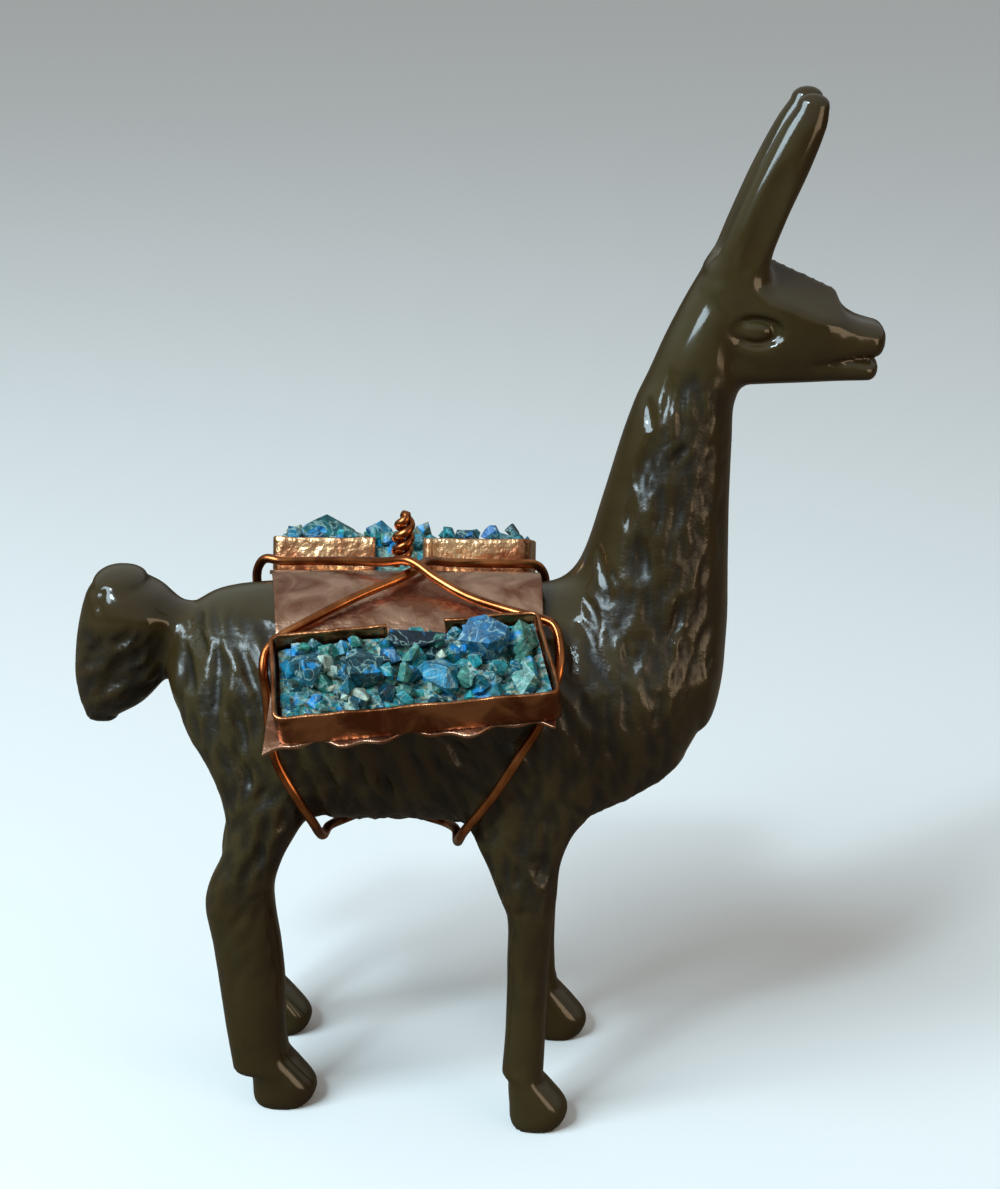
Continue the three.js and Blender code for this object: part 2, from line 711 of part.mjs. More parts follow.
// The matrix that puts a shape drawn in u, v and w in its place. The shape is drawn with its v
// multiplied by side.
function placing({ corner, axes, side }) {
  const [u, v, w] = [axes.u, axes.v, axes.w].map((axis) => new THREE.Vector3(...axis));
  return new THREE.Matrix4().makeBasis(u, v.multiplyScalar(side), w).setPosition(...corner);
}

// The height of a tray's floor plane over x, y.
function floorHeight({ corner, axes: { w } }, x, y) {
  return corner[2] - ((x - corner[0]) * w[0] + (y - corner[1]) * w[1]) / w[2];
}

// The height over x, y at which a point is so far off the stone's back.
function aboveStone(x, y, off) {
  let [low, high] = [50, 72];
  for (let turn = 0; turn < 18; turn++) {
    const middle = (low + high) / 2;
    if (blank(x, y, middle) < off) low = middle;
    else high = middle;
  }
  return low;
}

// The height of the middle of the saddle sheet: the trays' floors, bent over the ridge of the back.
function saddle(x, y) {
  const below = SHEET / 2;
  const roof = join(floorHeight(NEAR, x, y), floorHeight(FAR_SIDE, x, y), 3) - below;
  return cut(roof, aboveStone(x, y, CLEARANCE + below + 0.08), 0.4);
}

// A closed slab over a grid of pairs of points, the upper and the lower one. Rows run along X, and each
// row is at a larger Y than the one before.
function slab(grid) {
  const points = [0, 1].flatMap((face) => grid.flatMap((row) => row.map((pair) => pair[face])));
  const [across, along] = [grid.length, grid[0].length];
  const at = (face, i, j) => face * across * along + i * along + j;
  const faces = [];
  const square = (a, b, c, d) => faces.push([a, b, c], [a, c, d]);
  for (let i = 0; i < across - 1; i++)
    for (let j = 0; j < along - 1; j++) {
      square(at(0, i, j), at(0, i, j + 1), at(0, i + 1, j + 1), at(0, i + 1, j));
      square(at(1, i, j), at(1, i + 1, j), at(1, i + 1, j + 1), at(1, i, j + 1));
    }
  const rim = [];
  for (let j = 0; j < along - 1; j++) rim.push([0, j]);
  for (let i = 0; i < across - 1; i++) rim.push([i, along - 1]);
  for (let j = along - 1; j > 0; j--) rim.push([across - 1, j]);
  for (let i = across - 1; i > 0; i--) rim.push([i, 0]);
  rim.forEach(([i, j], k) => {
    const [m, n] = rim[(k + 1) % rim.length];
    square(at(1, i, j), at(1, m, n), at(0, m, n), at(0, i, j));
  });
  return { points, faces };
}

// The sheet's edges: at the back, at the head's side, and the wavy hand-cut ends.
const SADDLE = {
  back: [-25.3, -29.2],
  front: [5.7, 3.9],
  frontTip: 7.3,
  ends: [-24.3, 25.2],
  stations: [-21.4, -18, -14.8, -12.8, -11.2, -9.4, -7.2, -4.8, -2.4, 0, 2.5, 5, 7.4, 9.4, 11.6, 15, 19, 22],
  rows: 7,
};
const toHead = ([back, front], y) => mix(back, front, clamp((y + 12) / 24, 0, 1));
function saddleSheet() {
  const { back, front, frontTip, ends, stations, rows } = SADDLE;
  const wave = (x) => 0.45 * Math.sin(0.55 * x) + 0.3 * Math.sin(1.3 * x + 1);
  const grid = [ends[0], ...stations, ends[1]].map((y, i, all) => {
    const line = [];
    for (let j = 0; j <= rows; j++) {
      const tip = (frontTip - front[0]) * clamp((-12 - y) / 10, 0, 1);
      const x = mix(toHead(back, y), toHead(front, y) + tip, j / rows);
      let edge = y;
      if (i === 0) edge = y + Math.sin(THREE.MathUtils.degToRad(NEAR.yaw)) * (x - back[0]) + wave(x);
      if (i === all.length - 1) edge = y - wave(x);
      const e = 0.05;
      const z = saddle(x, edge);
      const slope = [(saddle(x + e, edge) - z) / e, (saddle(x, edge + e) - z) / e];
      const size = Math.hypot(slope[0], slope[1], 1);
      const half = [-slope[0], -slope[1], 1].map((c) => (c / size) * (SHEET / 2));
      line.push([1, -1].map((face) => [x, edge, z].map((c, q) => c + face * half[q])));
    }
    return line;
  });
  return meshOf("saddle_sheet", geometryOf(slab(grid)), COPPER);
}

// A path with its corners rounded.
function rounded(points, radius, steps) {
  const path = [points[0]];
  for (let i = 1; i < points.length - 1; i++) {
    const here = points[i];
    const ends = [points[i - 1], points[i + 1]].map((p) => {
      const [dx, dy] = [p[0] - here[0], p[1] - here[1]];
      const t = Math.min(radius / Math.hypot(dx, dy), 0.4);
      return [here[0] + dx * t, here[1] + dy * t];
    });
    for (let k = 0; k <= steps; k++) {
      const t = k / steps;
      path.push([0, 1].map((q) => mix(mix(ends[0][q], here[q], t), mix(here[q], ends[1][q], t), t)));
    }
  }
  path.push(points[points.length - 1]);
  return path;
}

// The outline of a strip bent along a path.
function bandShape(path, thickness) {
  const sides = [[], []];
  path.forEach((p, i) => {
    const [a, b] = [path[Math.max(i - 1, 0)], path[Math.min(i + 1, path.length - 1)]];
    const [dx, dy] = [b[0] - a[0], b[1] - a[1]];
    const size = Math.hypot(dx, dy) / (thickness / 2);
    sides[0].push(new THREE.Vector2(p[0] - dy / size, p[1] + dx / size));
    sides[1].unshift(new THREE.Vector2(p[0] + dy / size, p[1] - dx / size));
  });
  return new THREE.Shape([...sides[0], ...sides[1]]);
}

function trayWall(name, tray) {
  const { length, height, innerFlare, outerFlare, gap, curl, side } = tray;
  const half = SHEET / 2;
  const outer = TRAY_WIDTH + half;
  const corners = [
    [gap[0], -half],
    [-half - innerFlare[0], -half],
    [-half - outerFlare[0], outer],
    [length + half + outerFlare[1], outer],
    [length + half + innerFlare[1], -half],
    [gap[1], -half],
  ];
  if (curl) corners.push([gap[1] - 0.5 * curl, -half - curl], [gap[1] + 0.5 * curl, -half - 1.4 * curl]);
  const path = rounded(corners, 1, 3).map(([u, v]) => [u, side * v]);
  const shape = bandShape(path, SHEET);
  const geometry = new THREE.ExtrudeGeometry(shape, { depth: height - CLEARANCE, bevelEnabled: false });
  geometry.translate(0, 0, CLEARANCE);
  return meshOf(name, geometry.applyMatrix4(placing(tray)), COPPER);
}

// The same row of random numbers every time.
function dice(seed) {
  let state = seed;
  return (low, high) => {
    state = (state * 16807) % 2147483647;
    return low + ((high - low) * (state % 65536)) / 65536;
  };
}

// A chip of stone: a block with its edges and corners broken off, at u, v, w, with half sizes a, b, c,
// bedded straight down from its middle. The result gives the height of its top over u, v.
function chip(u, v, w, a, b, c, roll) {
  const turn = new THREE.Euler(roll(-0.3, 0.3), roll(-0.3, 0.3), roll(-0.7, 0.7));
  const planes = [];
  for (const x of [-1, 0, 1])
    for (const y of [-1, 0, 1])
      for (const z of [-1, 0, 1]) {
        const sides = Math.abs(x) + Math.abs(y) + Math.abs(z);
        if (sides !== 1 && (sides !== 3 || roll(0, 1) < 0.25)) continue;
        const reach = sides === 1 ? 1 : roll(1.7, 2.3);
        const [nx, ny, nz] = [x, y, z].map((side) => side + roll(-0.2, 0.2));
        const normal = new THREE.Vector3(nx / a, ny / b, nz / c).applyEuler(turn);
        const size = normal.length();
        planes.push([normal.x / size, normal.y / size, normal.z / size, reach / size]);
      }
  return (x, y) => {
    let high = Infinity;
    for (const [nx, ny, nz, reach] of planes) {
      const room = reach - nx * (x - u) - ny * (y - v);
      if (room < 0) return -Infinity;
      if (nz > 0) high = Math.min(high, w + room / nz);
    }
    return high;
  };
}

// A heap of chips bedded in a tray, clear of its walls and floor. The large ones are given; the rest of
// the tray is filled with small ones.
const BED = 2.4;
function heap(name, tray, large, seed) {
  const { length, innerFlare, outerFlare, side } = tray;
  const roll = dice(seed);
  const chips = large.map((sizes) => chip(...sizes, roll));
  for (let u = 1.8; u < length - 1; u += 3.3)
    for (let v = 1.8; v < TRAY_WIDTH - 1; v += 2.9) {
      const [a, b, c] = [roll(1.3, 2.3), roll(1.2, 2.1), roll(1.2, 2)];
      const rise = 1.2 * Math.sin((Math.PI * v) / TRAY_WIDTH) + roll(1.9, 3);
      chips.push(chip(u + roll(-0.8, 0.8), v + roll(-0.7, 0.7), rise, a, b, c, roll));
    }
  const margin = CLEARANCE + 0.1;
  const [across, along] = [TRAY_WIDTH, length].map((size) => Math.round(size / CHIP_CELL));
  const grid = [];
  for (let i = 0; i <= across; i++) {
    const row = [];
    const v = mix(margin, TRAY_WIDTH - margin, side > 0 ? i / across : 1 - i / across);
    const [back, front] = [0, 1].map((end) => mix(innerFlare[end], outerFlare[end], v / TRAY_WIDTH));
    for (let j = 0; j <= along; j++) {
      const u = mix(margin - back, length + front - margin, j / along);
      const high = chips.reduce((most, one) => Math.max(most, one(u, v)), BED);
      row.push([[u, side * v, high], [u, side * v, margin]]);
    }
    grid.push(row);
  }
  const geometry = geometryOf(thin(slab(grid), CHIP_TRIANGLES));
  return meshOf(name, geometry.applyMatrix4(placing(tray)), CHIPS);
}

// The binding wire. A point over the saddle sheet, a point beside a flank, and a point under the belly.
const WIRE_OFF = WIRE / 2 + CLEARANCE + 0.3;
const over = (x, y, lift = 0) => [x, y, saddle(x, y) + SHEET / 2 + WIRE_OFF + lift];
const beside = (x, z, side) => {
  let [low, high] = [2, 22];
  for (let turn = 0; turn < 16; turn++) {
    const middle = (low + high) / 2;
    if (blank(x, side * middle, z) < WIRE_OFF) low = middle;
    else high = middle;
  }
  return [x, side * low, z];
};
const under = (x, y, drop = 0) => {
  let [low, high] = [25, 50];
  for (let turn = 0; turn < 16; turn++) {
    const middle = (low + high) / 2;
    if (blank(x, y, middle) < WIRE_OFF) high = middle;
    else low = middle;
  }
  return [x, y, high - drop];
};
const CROSSING = WIRE + CLEARANCE + 0.1;
const FIRST_LOOP = [
  over(-10.7, -2.5), over(-17.2, -7.3), over(-22.6, -10.2), over(-24.8, -11.2, 0.1),
  [-26.4, -12.4, 59.4], [-26.6, -13.6, 57.4],
  beside(-26.2, 55.2, -1), beside(-25.9, 52.1, -1), beside(-25.1, 47.2, -1), beside(-22.7, 42.3, -1),
  beside(-21.1, 38.4, -1), [-20.4, -8, 34.9], under(-20, -4), under(-18.3, 0), under(-11.7, 5.5),
  under(-6.4, 9.6), beside(-3.4, 38.4, 1), beside(-0.4, 43, 1), beside(2, 48.8, 1), beside(3.6, 54, 1),
  [4.9, 13.6, 58.9], [5.1, 12.8, 61.6], [4.1, 11.8, 63.5], over(0.8, 10.7), over(-2.9, 10.2),
  over(-6.6, 7.4), over(-9, 2.4),
];
const SECOND_LOOP = [
  over(-10.7, -2.5, CROSSING), over(-7.4, -4.4, 0.5), over(-3.4, -6.8), over(1.6, -8.8), over(4.8, -10),
  [6.6, -10.8, 63.2], [7.4, -12.2, 61.2], [7.4, -13.8, 58.6],
  beside(6.7, 56, -1), beside(5.4, 52.6, -1), beside(3.2, 48.8, -1), beside(-0.1, 43.1, -1),
  beside(-3.1, 38.4, -1), [-4.2, -8, 34.7], under(-4.6, -4), under(-6, 0, 0.4),
  under(-11.7, 5.5, CROSSING), under(-17.2, 9.6), beside(-20.4, 38.4, 1), beside(-24, 43, 1), beside(-27, 48.8, 1), beside(-29.2, 54, 1),
  [-30.7, 12.3, 59.4], [-30.7, 12, 61.8], [-29.7, 11.4, 63.4], over(-27.4, 10.3), over(-22.6, 6.4),
  over(-18.2, 2.8), over(-13.8, -0.6, 0.6),
];
function wireLoop(name, points) {
  const curve = new THREE.CatmullRomCurve3(points.map((p) => new THREE.Vector3(...p)), true);
  const [steps, sides] = [48, 5];
  const ring = curve.getSpacedPoints(steps).slice(0, steps);
  const net = { points: [], faces: [] };
  ring.forEach((p, i) => {
    const [a, b] = [ring[(i + steps - 1) % steps], ring[(i + 1) % steps]];
    const tangent = b.clone().sub(a).normalize();
    const across = new THREE.Vector3(0, p.y, p.z - 50).cross(tangent).normalize();
    const out = tangent.clone().cross(across);
    for (let k = 0; k < sides; k++) {
      const turn = (2 * Math.PI * k) / sides;
      const q = p.clone().addScaledVector(across, (Math.cos(turn) * WIRE) / 2);
      net.points.push(q.addScaledVector(out, (Math.sin(turn) * WIRE) / 2).toArray());
      const [c, d] = [i * sides, ((i + 1) % steps) * sides];
      const [m, n] = [k, (k + 1) % sides];
      net.faces.push([c + m, c + n, d + n], [c + m, d + n, d + m]);
    }
  });
  return meshOf(name, geometryOf(net), COPPER);
}

// The two ends of the wire, twisted together and bent into a point at the top.
const TWIST = { x: -12, y: 1.8, height: 7.2, turns: 1.9, levels: 13, sides: 8 };
function wireTwist() {
  const { x, y, height, turns, levels, sides } = TWIST;
  const base = saddle(x, y) + SHEET / 2 + CLEARANCE + 0.1;
  const net = { points: [], faces: [] };
  for (let i = 0; i <= levels; i++) {
    const t = i / levels;
    const narrow = t < 0.8 ? 1 : mix(1, 0.35, (t - 0.8) / 0.2);
    for (let k = 0; k < sides; k++) {
      const turn = (2 * Math.PI * k) / sides;
      const far = WIRE * (0.72 + 0.4 * Math.cos(2 * turn)) * narrow;
      const angle = turn + 2 * Math.PI * turns * t;
      const lean = 0.5 * t;
      net.points.push([x + lean + far * Math.cos(angle), y + far * Math.sin(angle), base + height * t]);
      if (i === levels) continue;
      const [c, d] = [i * sides, (i + 1) * sides];
      const n = (k + 1) % sides;
      net.faces.push([c + k, c + n, d + n], [c + k, d + n, d + k]);
    }
  }
  const top = levels * sides;
  for (let k = 1; k < sides - 1; k++) {
    net.faces.push([0, k + 1, k], [top, top + k, top + k + 1]);
  }
  return meshOf("wire_twist", geometryOf(net), COPPER);
}

// The large chips: u, v, w of the middle, and half sizes along the tray, across it and up.
const NEAR_LARGE = [
  [15.2, 1.9, 4.9, 3.3, 1.5, 1.7], [23, 4.2, 5.4, 3.1, 2.2, 3], [27.2, 3.4, 3.6, 1.9, 2.6, 2.2],
  [27.4, 8.4, 3.2, 2, 2.8, 2], [3, 5, 4.4, 2.4, 2.6, 2], [9, 6.4, 4.8, 3, 2.3, 2.1],
  [17.6, 8.4, 4.4, 2.8, 2.4, 2],
];
const FAR_LARGE = [
  [6, 5, 4, 3.9, 2.8, 3], [12.7, 4.8, 3.7, 2.2, 2.6, 2.6], [18.6, 5, 1.8, 3, 2.4, 1.6],
  [23.7, 4.6, 3.7, 1.9, 2.2, 2.3], [27.7, 4.4, 3, 2, 2.2, 1.8],
];

const figure = new THREE.Group();
figure.position.set(-BOX_MIDDLE_X, 0, 0);
figure.add(
  llama(),
  saddleSheet(),
  trayWall("near_tray", NEAR),
  trayWall("far_tray", FAR_SIDE),
  heap("near_chips", NEAR, NEAR_LARGE, 17),
  heap("far_chips", FAR_SIDE, FAR_LARGE, 29),
  wireLoop("binding_wire_1", FIRST_LOOP),
  wireLoop("binding_wire_2", SECOND_LOOP),
  wireTwist(),
);

export default figure;
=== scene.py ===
# %% [markdown]
# A llama figurine: one piece of dark stone, carved and polished, that carries a pack saddle of sheet
# copper. Two shallow copper trays are heaped with blue and green stone chips, and two loops of copper
# wire bind the saddle on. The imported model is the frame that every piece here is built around.

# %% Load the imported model
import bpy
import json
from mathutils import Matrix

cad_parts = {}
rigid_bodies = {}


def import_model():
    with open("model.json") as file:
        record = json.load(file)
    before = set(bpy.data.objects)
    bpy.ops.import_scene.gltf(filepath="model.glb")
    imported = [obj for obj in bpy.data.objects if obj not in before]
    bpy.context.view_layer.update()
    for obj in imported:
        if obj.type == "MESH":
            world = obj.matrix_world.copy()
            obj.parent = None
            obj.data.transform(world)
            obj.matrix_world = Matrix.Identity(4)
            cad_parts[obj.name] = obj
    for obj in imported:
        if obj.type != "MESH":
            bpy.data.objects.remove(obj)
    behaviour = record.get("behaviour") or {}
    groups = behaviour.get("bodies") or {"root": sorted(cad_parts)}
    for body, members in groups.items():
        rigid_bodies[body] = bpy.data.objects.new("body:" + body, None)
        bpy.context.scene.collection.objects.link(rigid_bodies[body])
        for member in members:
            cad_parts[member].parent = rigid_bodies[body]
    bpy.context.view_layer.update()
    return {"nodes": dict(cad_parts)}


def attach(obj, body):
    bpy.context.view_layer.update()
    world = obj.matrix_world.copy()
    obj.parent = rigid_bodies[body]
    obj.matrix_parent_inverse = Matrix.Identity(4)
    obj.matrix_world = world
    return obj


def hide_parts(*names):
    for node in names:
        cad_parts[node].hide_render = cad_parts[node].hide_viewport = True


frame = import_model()
print("nodes:", sorted(frame["nodes"]))

# %% [markdown]
# All sizes below are in millimetres, as a maker would measure the figure, with x = 0 at the fore legs.
# The frame's x = 0 is under the middle of the figure's box, 3.8 mm further back, and its unit is the
# metre, so one function turns measured points into the frame.

# %% Units and small helpers
import json
import math
import random

import bmesh
import bpy
import numpy as np
from mathutils import Matrix, Vector

MM = 0.001
BOX_MIDDLE_X = -3.8


def in_frame(points):
    """Measured millimetres to metres in the frame."""
    return (np.asarray(points, float) - [BOX_MIDDLE_X, 0, 0]) * MM


def mix(a, b, t):
    return a + (b - a) * t


def step_between(v, low, high):
    """0 below low, 1 above high, and smooth between. It falls where low is the larger."""
    t = np.clip((v - low) / (high - low), 0, 1)
    return t * t * (3 - 2 * t)


# %% [markdown]
# A mesh is made from arrays of points and faces in measured millimetres. Every piece then rides on the
# one body, stands for its CAD node, and takes a finish made below.

# %% Make a mesh piece and dress a node with it


def mesh_piece(name, points, faces, smooth=True):
    mesh = bpy.data.meshes.new(name)
    mesh.from_pydata(in_frame(points).tolist(), [], np.asarray(faces).tolist())
    mesh.update()
    mesh.shade_smooth() if smooth else mesh.shade_flat()
    piece = bpy.data.objects.new(name, mesh)
    bpy.context.scene.collection.objects.link(piece)
    return piece


def stands_for(piece, node_name, material):
    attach(piece, "root")
    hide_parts(node_name)
    piece.data.materials.clear()
    piece.data.materials.append(material)
    print(piece.name, "stands for", node_name)


# %% [markdown]
# Carved stone has no straight parts, so it is easier to say how deep a point lies in the stone than to
# place faces by hand. Each limb is a stack of rounded slices, given by its edges at a few stations. The
# limbs melt into each other where two depths are nearly equal. These are the same limbs as in the solid.

# %% Melt depths together, and draw a smooth curve through the rows of a table


def join(a, b, round_by):
    near = np.maximum(round_by - np.abs(a - b), 0) / round_by
    return np.minimum(a, b) - near * near * round_by / 4


def cut(a, b, round_by):
    return -join(-a, -b, round_by)


def through_rows(rows, samples=80):
    rows = np.array(rows, float)
    at = np.linspace(rows[0, 0], rows[-1, 0], samples + 1)
    k = np.clip(np.searchsorted(rows[:, 0], at, side="left") - 1, 0, len(rows) - 2)
    a, b = rows[k], rows[k + 1]
    before, after = rows[np.maximum(k - 1, 0)], rows[np.minimum(k + 2, len(rows) - 1)]
    span = (b[:, 0] - a[:, 0])[:, None]
    t = ((at - a[:, 0]) / span[:, 0])[:, None]
    slope_a = (b - before) / (b[:, :1] - before[:, :1]) * span
    slope_b = (after - a) / (after[:, :1] - a[:, :1]) * span
    value = (2 * t**3 - 3 * t**2 + 1) * a + (t**3 - 2 * t**2 + t) * slope_a
    value += (3 * t**2 - 2 * t**3) * b + (t**3 - t**2) * slope_b
    return rows[0, 0], rows[-1, 0], value[:, 1:]


# %% The depth of points in one limb
FAR = 6  # further than this from a limb, its exact depth doesn't matter


def past(v, low, high):
    return np.maximum(np.maximum(low - v, v - high), 0)


def limb(along, rows, square=2.3, caps=(1, 1)):
    first, last, table = through_rows(rows)
    scale = (len(table) - 1) / (last - first)
    low, high = table.min(0), table.max(0)

    def depth(x, y, z):
        at, side = (x, z) if along == "x" else (z, x)
        away = np.maximum(past(at, first - caps[0], last + caps[1]), past(side, low[0], high[1]))
        away = np.maximum(away, past(y, low[2], high[3]))
        near = away <= FAR
        at, side, y = at[near], side[near], y[near]
        held = np.clip(at, first, last)
        place = (held - first) * scale
        i = np.minimum(place.astype(int), len(table) - 2)
        part = (place - i)[:, None]
        back, front, right, left = (table[i] * (1 - part) + table[i + 1] * part).T
        half_side, half_y = (front - back) / 2, (left - right) / 2
        u = np.abs(side - (back + front) / 2) / half_side
        v = np.abs(y - (right + left) / 2) / half_y
        around = np.maximum((u**square + v**square) ** (1 / square), 1e-3)
        cap = np.where(at < held, caps[0], caps[1])
        beyond = np.abs(at - held) / cap
        size = np.sqrt(around**2 + beyond**2)
        steep = around ** (2 - square) / size
        slope = np.sqrt(
            (steep * u ** (square - 1) / half_side) ** 2
            + (steep * v ** (square - 1) / half_y) ** 2
            + (beyond / (cap * size)) ** 2
        )
        away[near] = (size - 1) / np.maximum(slope, 0.5 / np.maximum(half_side, half_y))
        return away

    return depth


def even(rows):
    """The last column is half the width, the same on both sides of the middle."""
    return [[at, low, high, -half, half] for at, low, high, half in rows]


def ball(cx, cy, cz, rx, ry, rz):
    def depth(x, y, z):
        u, v, w = (x - cx) / rx, (y - cy) / ry, (z - cz) / rz
        size = np.maximum(np.sqrt(u * u + v * v + w * w), 1e-3)
        slope = np.sqrt((u / rx) ** 2 + (v / ry) ** 2 + (w / rz) ** 2)
        return (size - 1) * size / np.maximum(slope, 1e-3)

    return depth


# %% [markdown]
# The limbs' stations. Along x each row is x, lowest z, highest z and half width. Along z it is z, back,
# front and half width, or z, back, front, right and left.

# %% Body, neck and tail
torso = limb("x", even([
    [-37, 48, 60.9, 6.2], [-34, 43.8, 62.5, 9.8], [-29, 39, 63.3, 12.8], [-21, 35.4, 63.8, 13.9],
    [-11, 35.3, 64.2, 14.1], [1, 35.3, 64.3, 14.3], [9, 35.9, 64.1, 14], [15, 38.2, 63.3, 13.2],
    [20, 42.3, 62.3, 11.4], [24, 49.1, 61.3, 8.4],
]), square=2.15, caps=(2.5, 2))
neck = limb("z", even([
    [45.4, 4, 22.8, 9.8], [49.4, 4.5, 24.4, 10.5], [53.4, 5.2, 25.3, 10.9], [57.4, 6, 26.1, 10.8],
    [63.4, 7.6, 26.9, 10.2], [69.3, 10, 26.8, 9.3], [76.3, 12, 26.6, 8.4], [83.3, 13.9, 26.6, 7.7],
    [87.4, 15.2, 26.6, 7.3], [90.6, 16.6, 27.4, 7], [95.3, 18.5, 27.4, 6.6], [100.3, 20.9, 29, 5.9],
    [102.8, 22.4, 29.6, 5.4],
]), square=2.35, caps=(3, 2.5))
tail = limb("z", even([
    [46.7, -50.2, -46.2, 2.4], [48.8, -50.8, -42.8, 4.3], [51.8, -51.2, -40.4, 5.4],
    [55.8, -51, -39.2, 6], [59.8, -50.3, -38.2, 6.2], [62.3, -49.6, -40, 5.6],
    [63.6, -48.8, -42.4, 4.8],
]), square=2.2, caps=(1, 1.6))

# %% Head and ears
skull = limb("x", even([
    [24.5, 93.3, 103.9, 5.4], [28, 91.2, 105.7, 6.2], [32, 90.8, 105.9, 6.1], [36.2, 91.3, 104.3, 5.6],
    [38.2, 92.3, 99.7, 5], [39.8, 93.2, 98.3, 4.6], [42.1, 93.6, 97.6, 4],
]), square=3, caps=(2.5, 1.5))
jaw = limb("x", even([
    [27, 90, 95.8, 5.2], [36, 90.6, 95.3, 4.7], [41.5, 90.9, 93.7, 3.8],
]), square=2.6, caps=(2, 1.4))


def ear(side):
    rows = [
        [101.8, 23, 29.6, 1.4, 6], [105.3, 24, 29.9, 1.7, 6.4], [109.3, 25.5, 31.2, 2, 6.7],
        [115.3, 28, 33.6, 2.1, 6.5], [119.8, 30.2, 35.1, 2.4, 6.1], [122.1, 31.7, 35.3, 2.8, 5.6],
    ]
    if side < 0:
        rows = [[z, back, front, -outer, -inner] for z, back, front, inner, outer in rows]
    return limb("z", rows, square=2.2, caps=(2, 1.3))


def forehead(x, y, z):
    """The flat polished forehead: two planes that meet in a ridge and slope down to the nose."""
    fall, side = 0.43, 0.62
    over = z - 103.8 + fall * (x - 31.6) + side * np.abs(y)
    return over / math.sqrt(1 + fall**2 + side**2)


EYE = (28.1, 6.2, 97)
sockets = [ball(EYE[0], s * EYE[1], EYE[2], 3.6, 1.5, 1.9) for s in (-1, 1)]
eyeballs = [ball(EYE[0] + 0.3, s * (EYE[1] - 0.9), EYE[2], 1.9, 0.8, 1.15) for s in (-1, 1)]
ears = [ear(-1), ear(1)]

# %% Legs and feet
LEG_ROWS = {
    "right hind": [
        [4.9, -31.3, -24.2, -12.8, -5.9], [9.6, -32, -24.8, -12.8, -5.9], [14.9, -32.7, -24.8, -12.9, -5.9],
        [21.3, -33.5, -25.3, -13.1, -5.9], [26.3, -34.3, -26, -13.4, -5.9], [29.3, -33.8, -26, -13.6, -5.9],
        [32.8, -32.3, -24.9, -13.9, -5.2], [37.3, -31.8, -22.6, -14, -3.6], [42.3, -33.4, -21, -13.8, -1.5],
        [48.3, -37, -22, -12.4, -0.5], [52.3, -38, -24, -11, -0.5],
    ],
    "left hind": [
        [5.8, -33.6, -27.6, 6.1, 12.6], [9.6, -34, -28, 6.1, 12.7], [14.9, -34.6, -28.9, 6.1, 12.9],
        [21.3, -35, -28.7, 6.1, 13.1], [26.3, -35.2, -28.4, 6.1, 13.4], [32.8, -33.8, -27.2, 5.2, 13.8],
        [37.3, -32.8, -24, 3.4, 13.9], [42.3, -33.6, -21, 1.5, 13.7], [48.3, -37, -22, 0.5, 12.4],
        [52.3, -38, -24, 0.5, 11],
    ],
    "right fore": [
        [7, 1.9, 6.9, -15.4, -9.2], [12.8, 2.2, 7, -15.3, -9], [21.3, 2.2, 7.2, -15, -8.6],
        [26.9, 2.1, 7.6, -14.9, -8.2], [29.5, 1.1, 7.9, -14.9, -7.8], [33.3, -0.5, 8.2, -14.7, -6.8],
        [36.3, -2, 9.2, -14.5, -5.6], [41.3, -4, 12, -14, -3], [46.3, -4, 13, -13.2, -1.5],
    ],
    "left fore": [
        [7, 3.3, 7.9, 8.1, 14.3], [12.8, 3.3, 7.6, 8.1, 14.4], [21.3, 3, 7.8, 8, 14.5],
        [27.3, 2.4, 8.4, 7.6, 14.6], [33.3, 0, 8.8, 6.6, 14.6], [37.3, -1.6, 9.8, 5.2, 14.4],
        [41.3, -4, 12, 3, 14], [46.3, -4, 13, 1.5, 13.2],
    ],
}
legs = [limb("z", rows, square=2.5, caps=(1, 3)) for rows in LEG_ROWS.values()]


def foot(heel, long, right, left):
    """A rounded wedge from the heel to the toe, flat below."""
    return limb("z", [
        [-0.4, heel + 0.5, heel + long - 1.6, right + 0.6, left - 0.6],
        [0.8, heel + 0.1, heel + long - 0.4, right + 0.1, left - 0.1],
        [2.5, heel, heel + long, right, left],
        [4.8, heel - 0.2, heel + long - 1.7, right + 0.1, left - 0.1],
        [7.2, heel - 0.2, heel + long - 4, right + 0.4, left - 0.4],
    ], square=2.4, caps=(1.2, 1.5))


feet = [
    foot(-28.9, 7.8, -12.7, -5.6), foot(-31.3, 7.4, 6.2, 12.8),
    foot(2.9, 7.0, -16.0, -9.1), foot(4.9, 7.1, 7.8, 14.4),
]

# %% The llama before its wool is carved


def blank(x, y, z):
    body = join(torso(x, y, z), neck(x, y, z), 4)

    def add(where, limbs, round_by):
        px, py, pz = x[where], y[where], z[where]
        depth = limbs[0](px, py, pz)
        for one in limbs[1:]:
            depth = np.minimum(depth, one(px, py, pz))
        body[where] = join(body[where], depth, round_by)

    add(x < -30, [tail], 2.6)
    add(z < 60, legs, 3.2)
    add(z < 14, feet, 0.7)
    top = z > 82
    px, py, pz = x[top], y[top], z[top]
    head = join(cut(skull(px, py, pz), forehead(px, py, pz), 0.5), jaw(px, py, pz), 0.5)
    for one in sockets:
        head = cut(head, -one(px, py, pz), 0.5)
    for one in eyeballs:
        head = join(head, one(px, py, pz), 0.25)
    body[top] = join(body[top], head, 1.2)
    for one in ears:
        add(top, [one], 1.6)
    return cut(body, -z, 0.4)


print("depth at the middle of the body:", blank(*(np.array([v]) for v in (-10.0, 0.0, 50.0))).round(1))

# %% [markdown]
# The wool is cut with a small grinding wheel: each cut is a lens-shaped scoop, and two scoops meet in a
# sharp crest that catches the light. The large cuts below are the solid's, seen on the real flank.

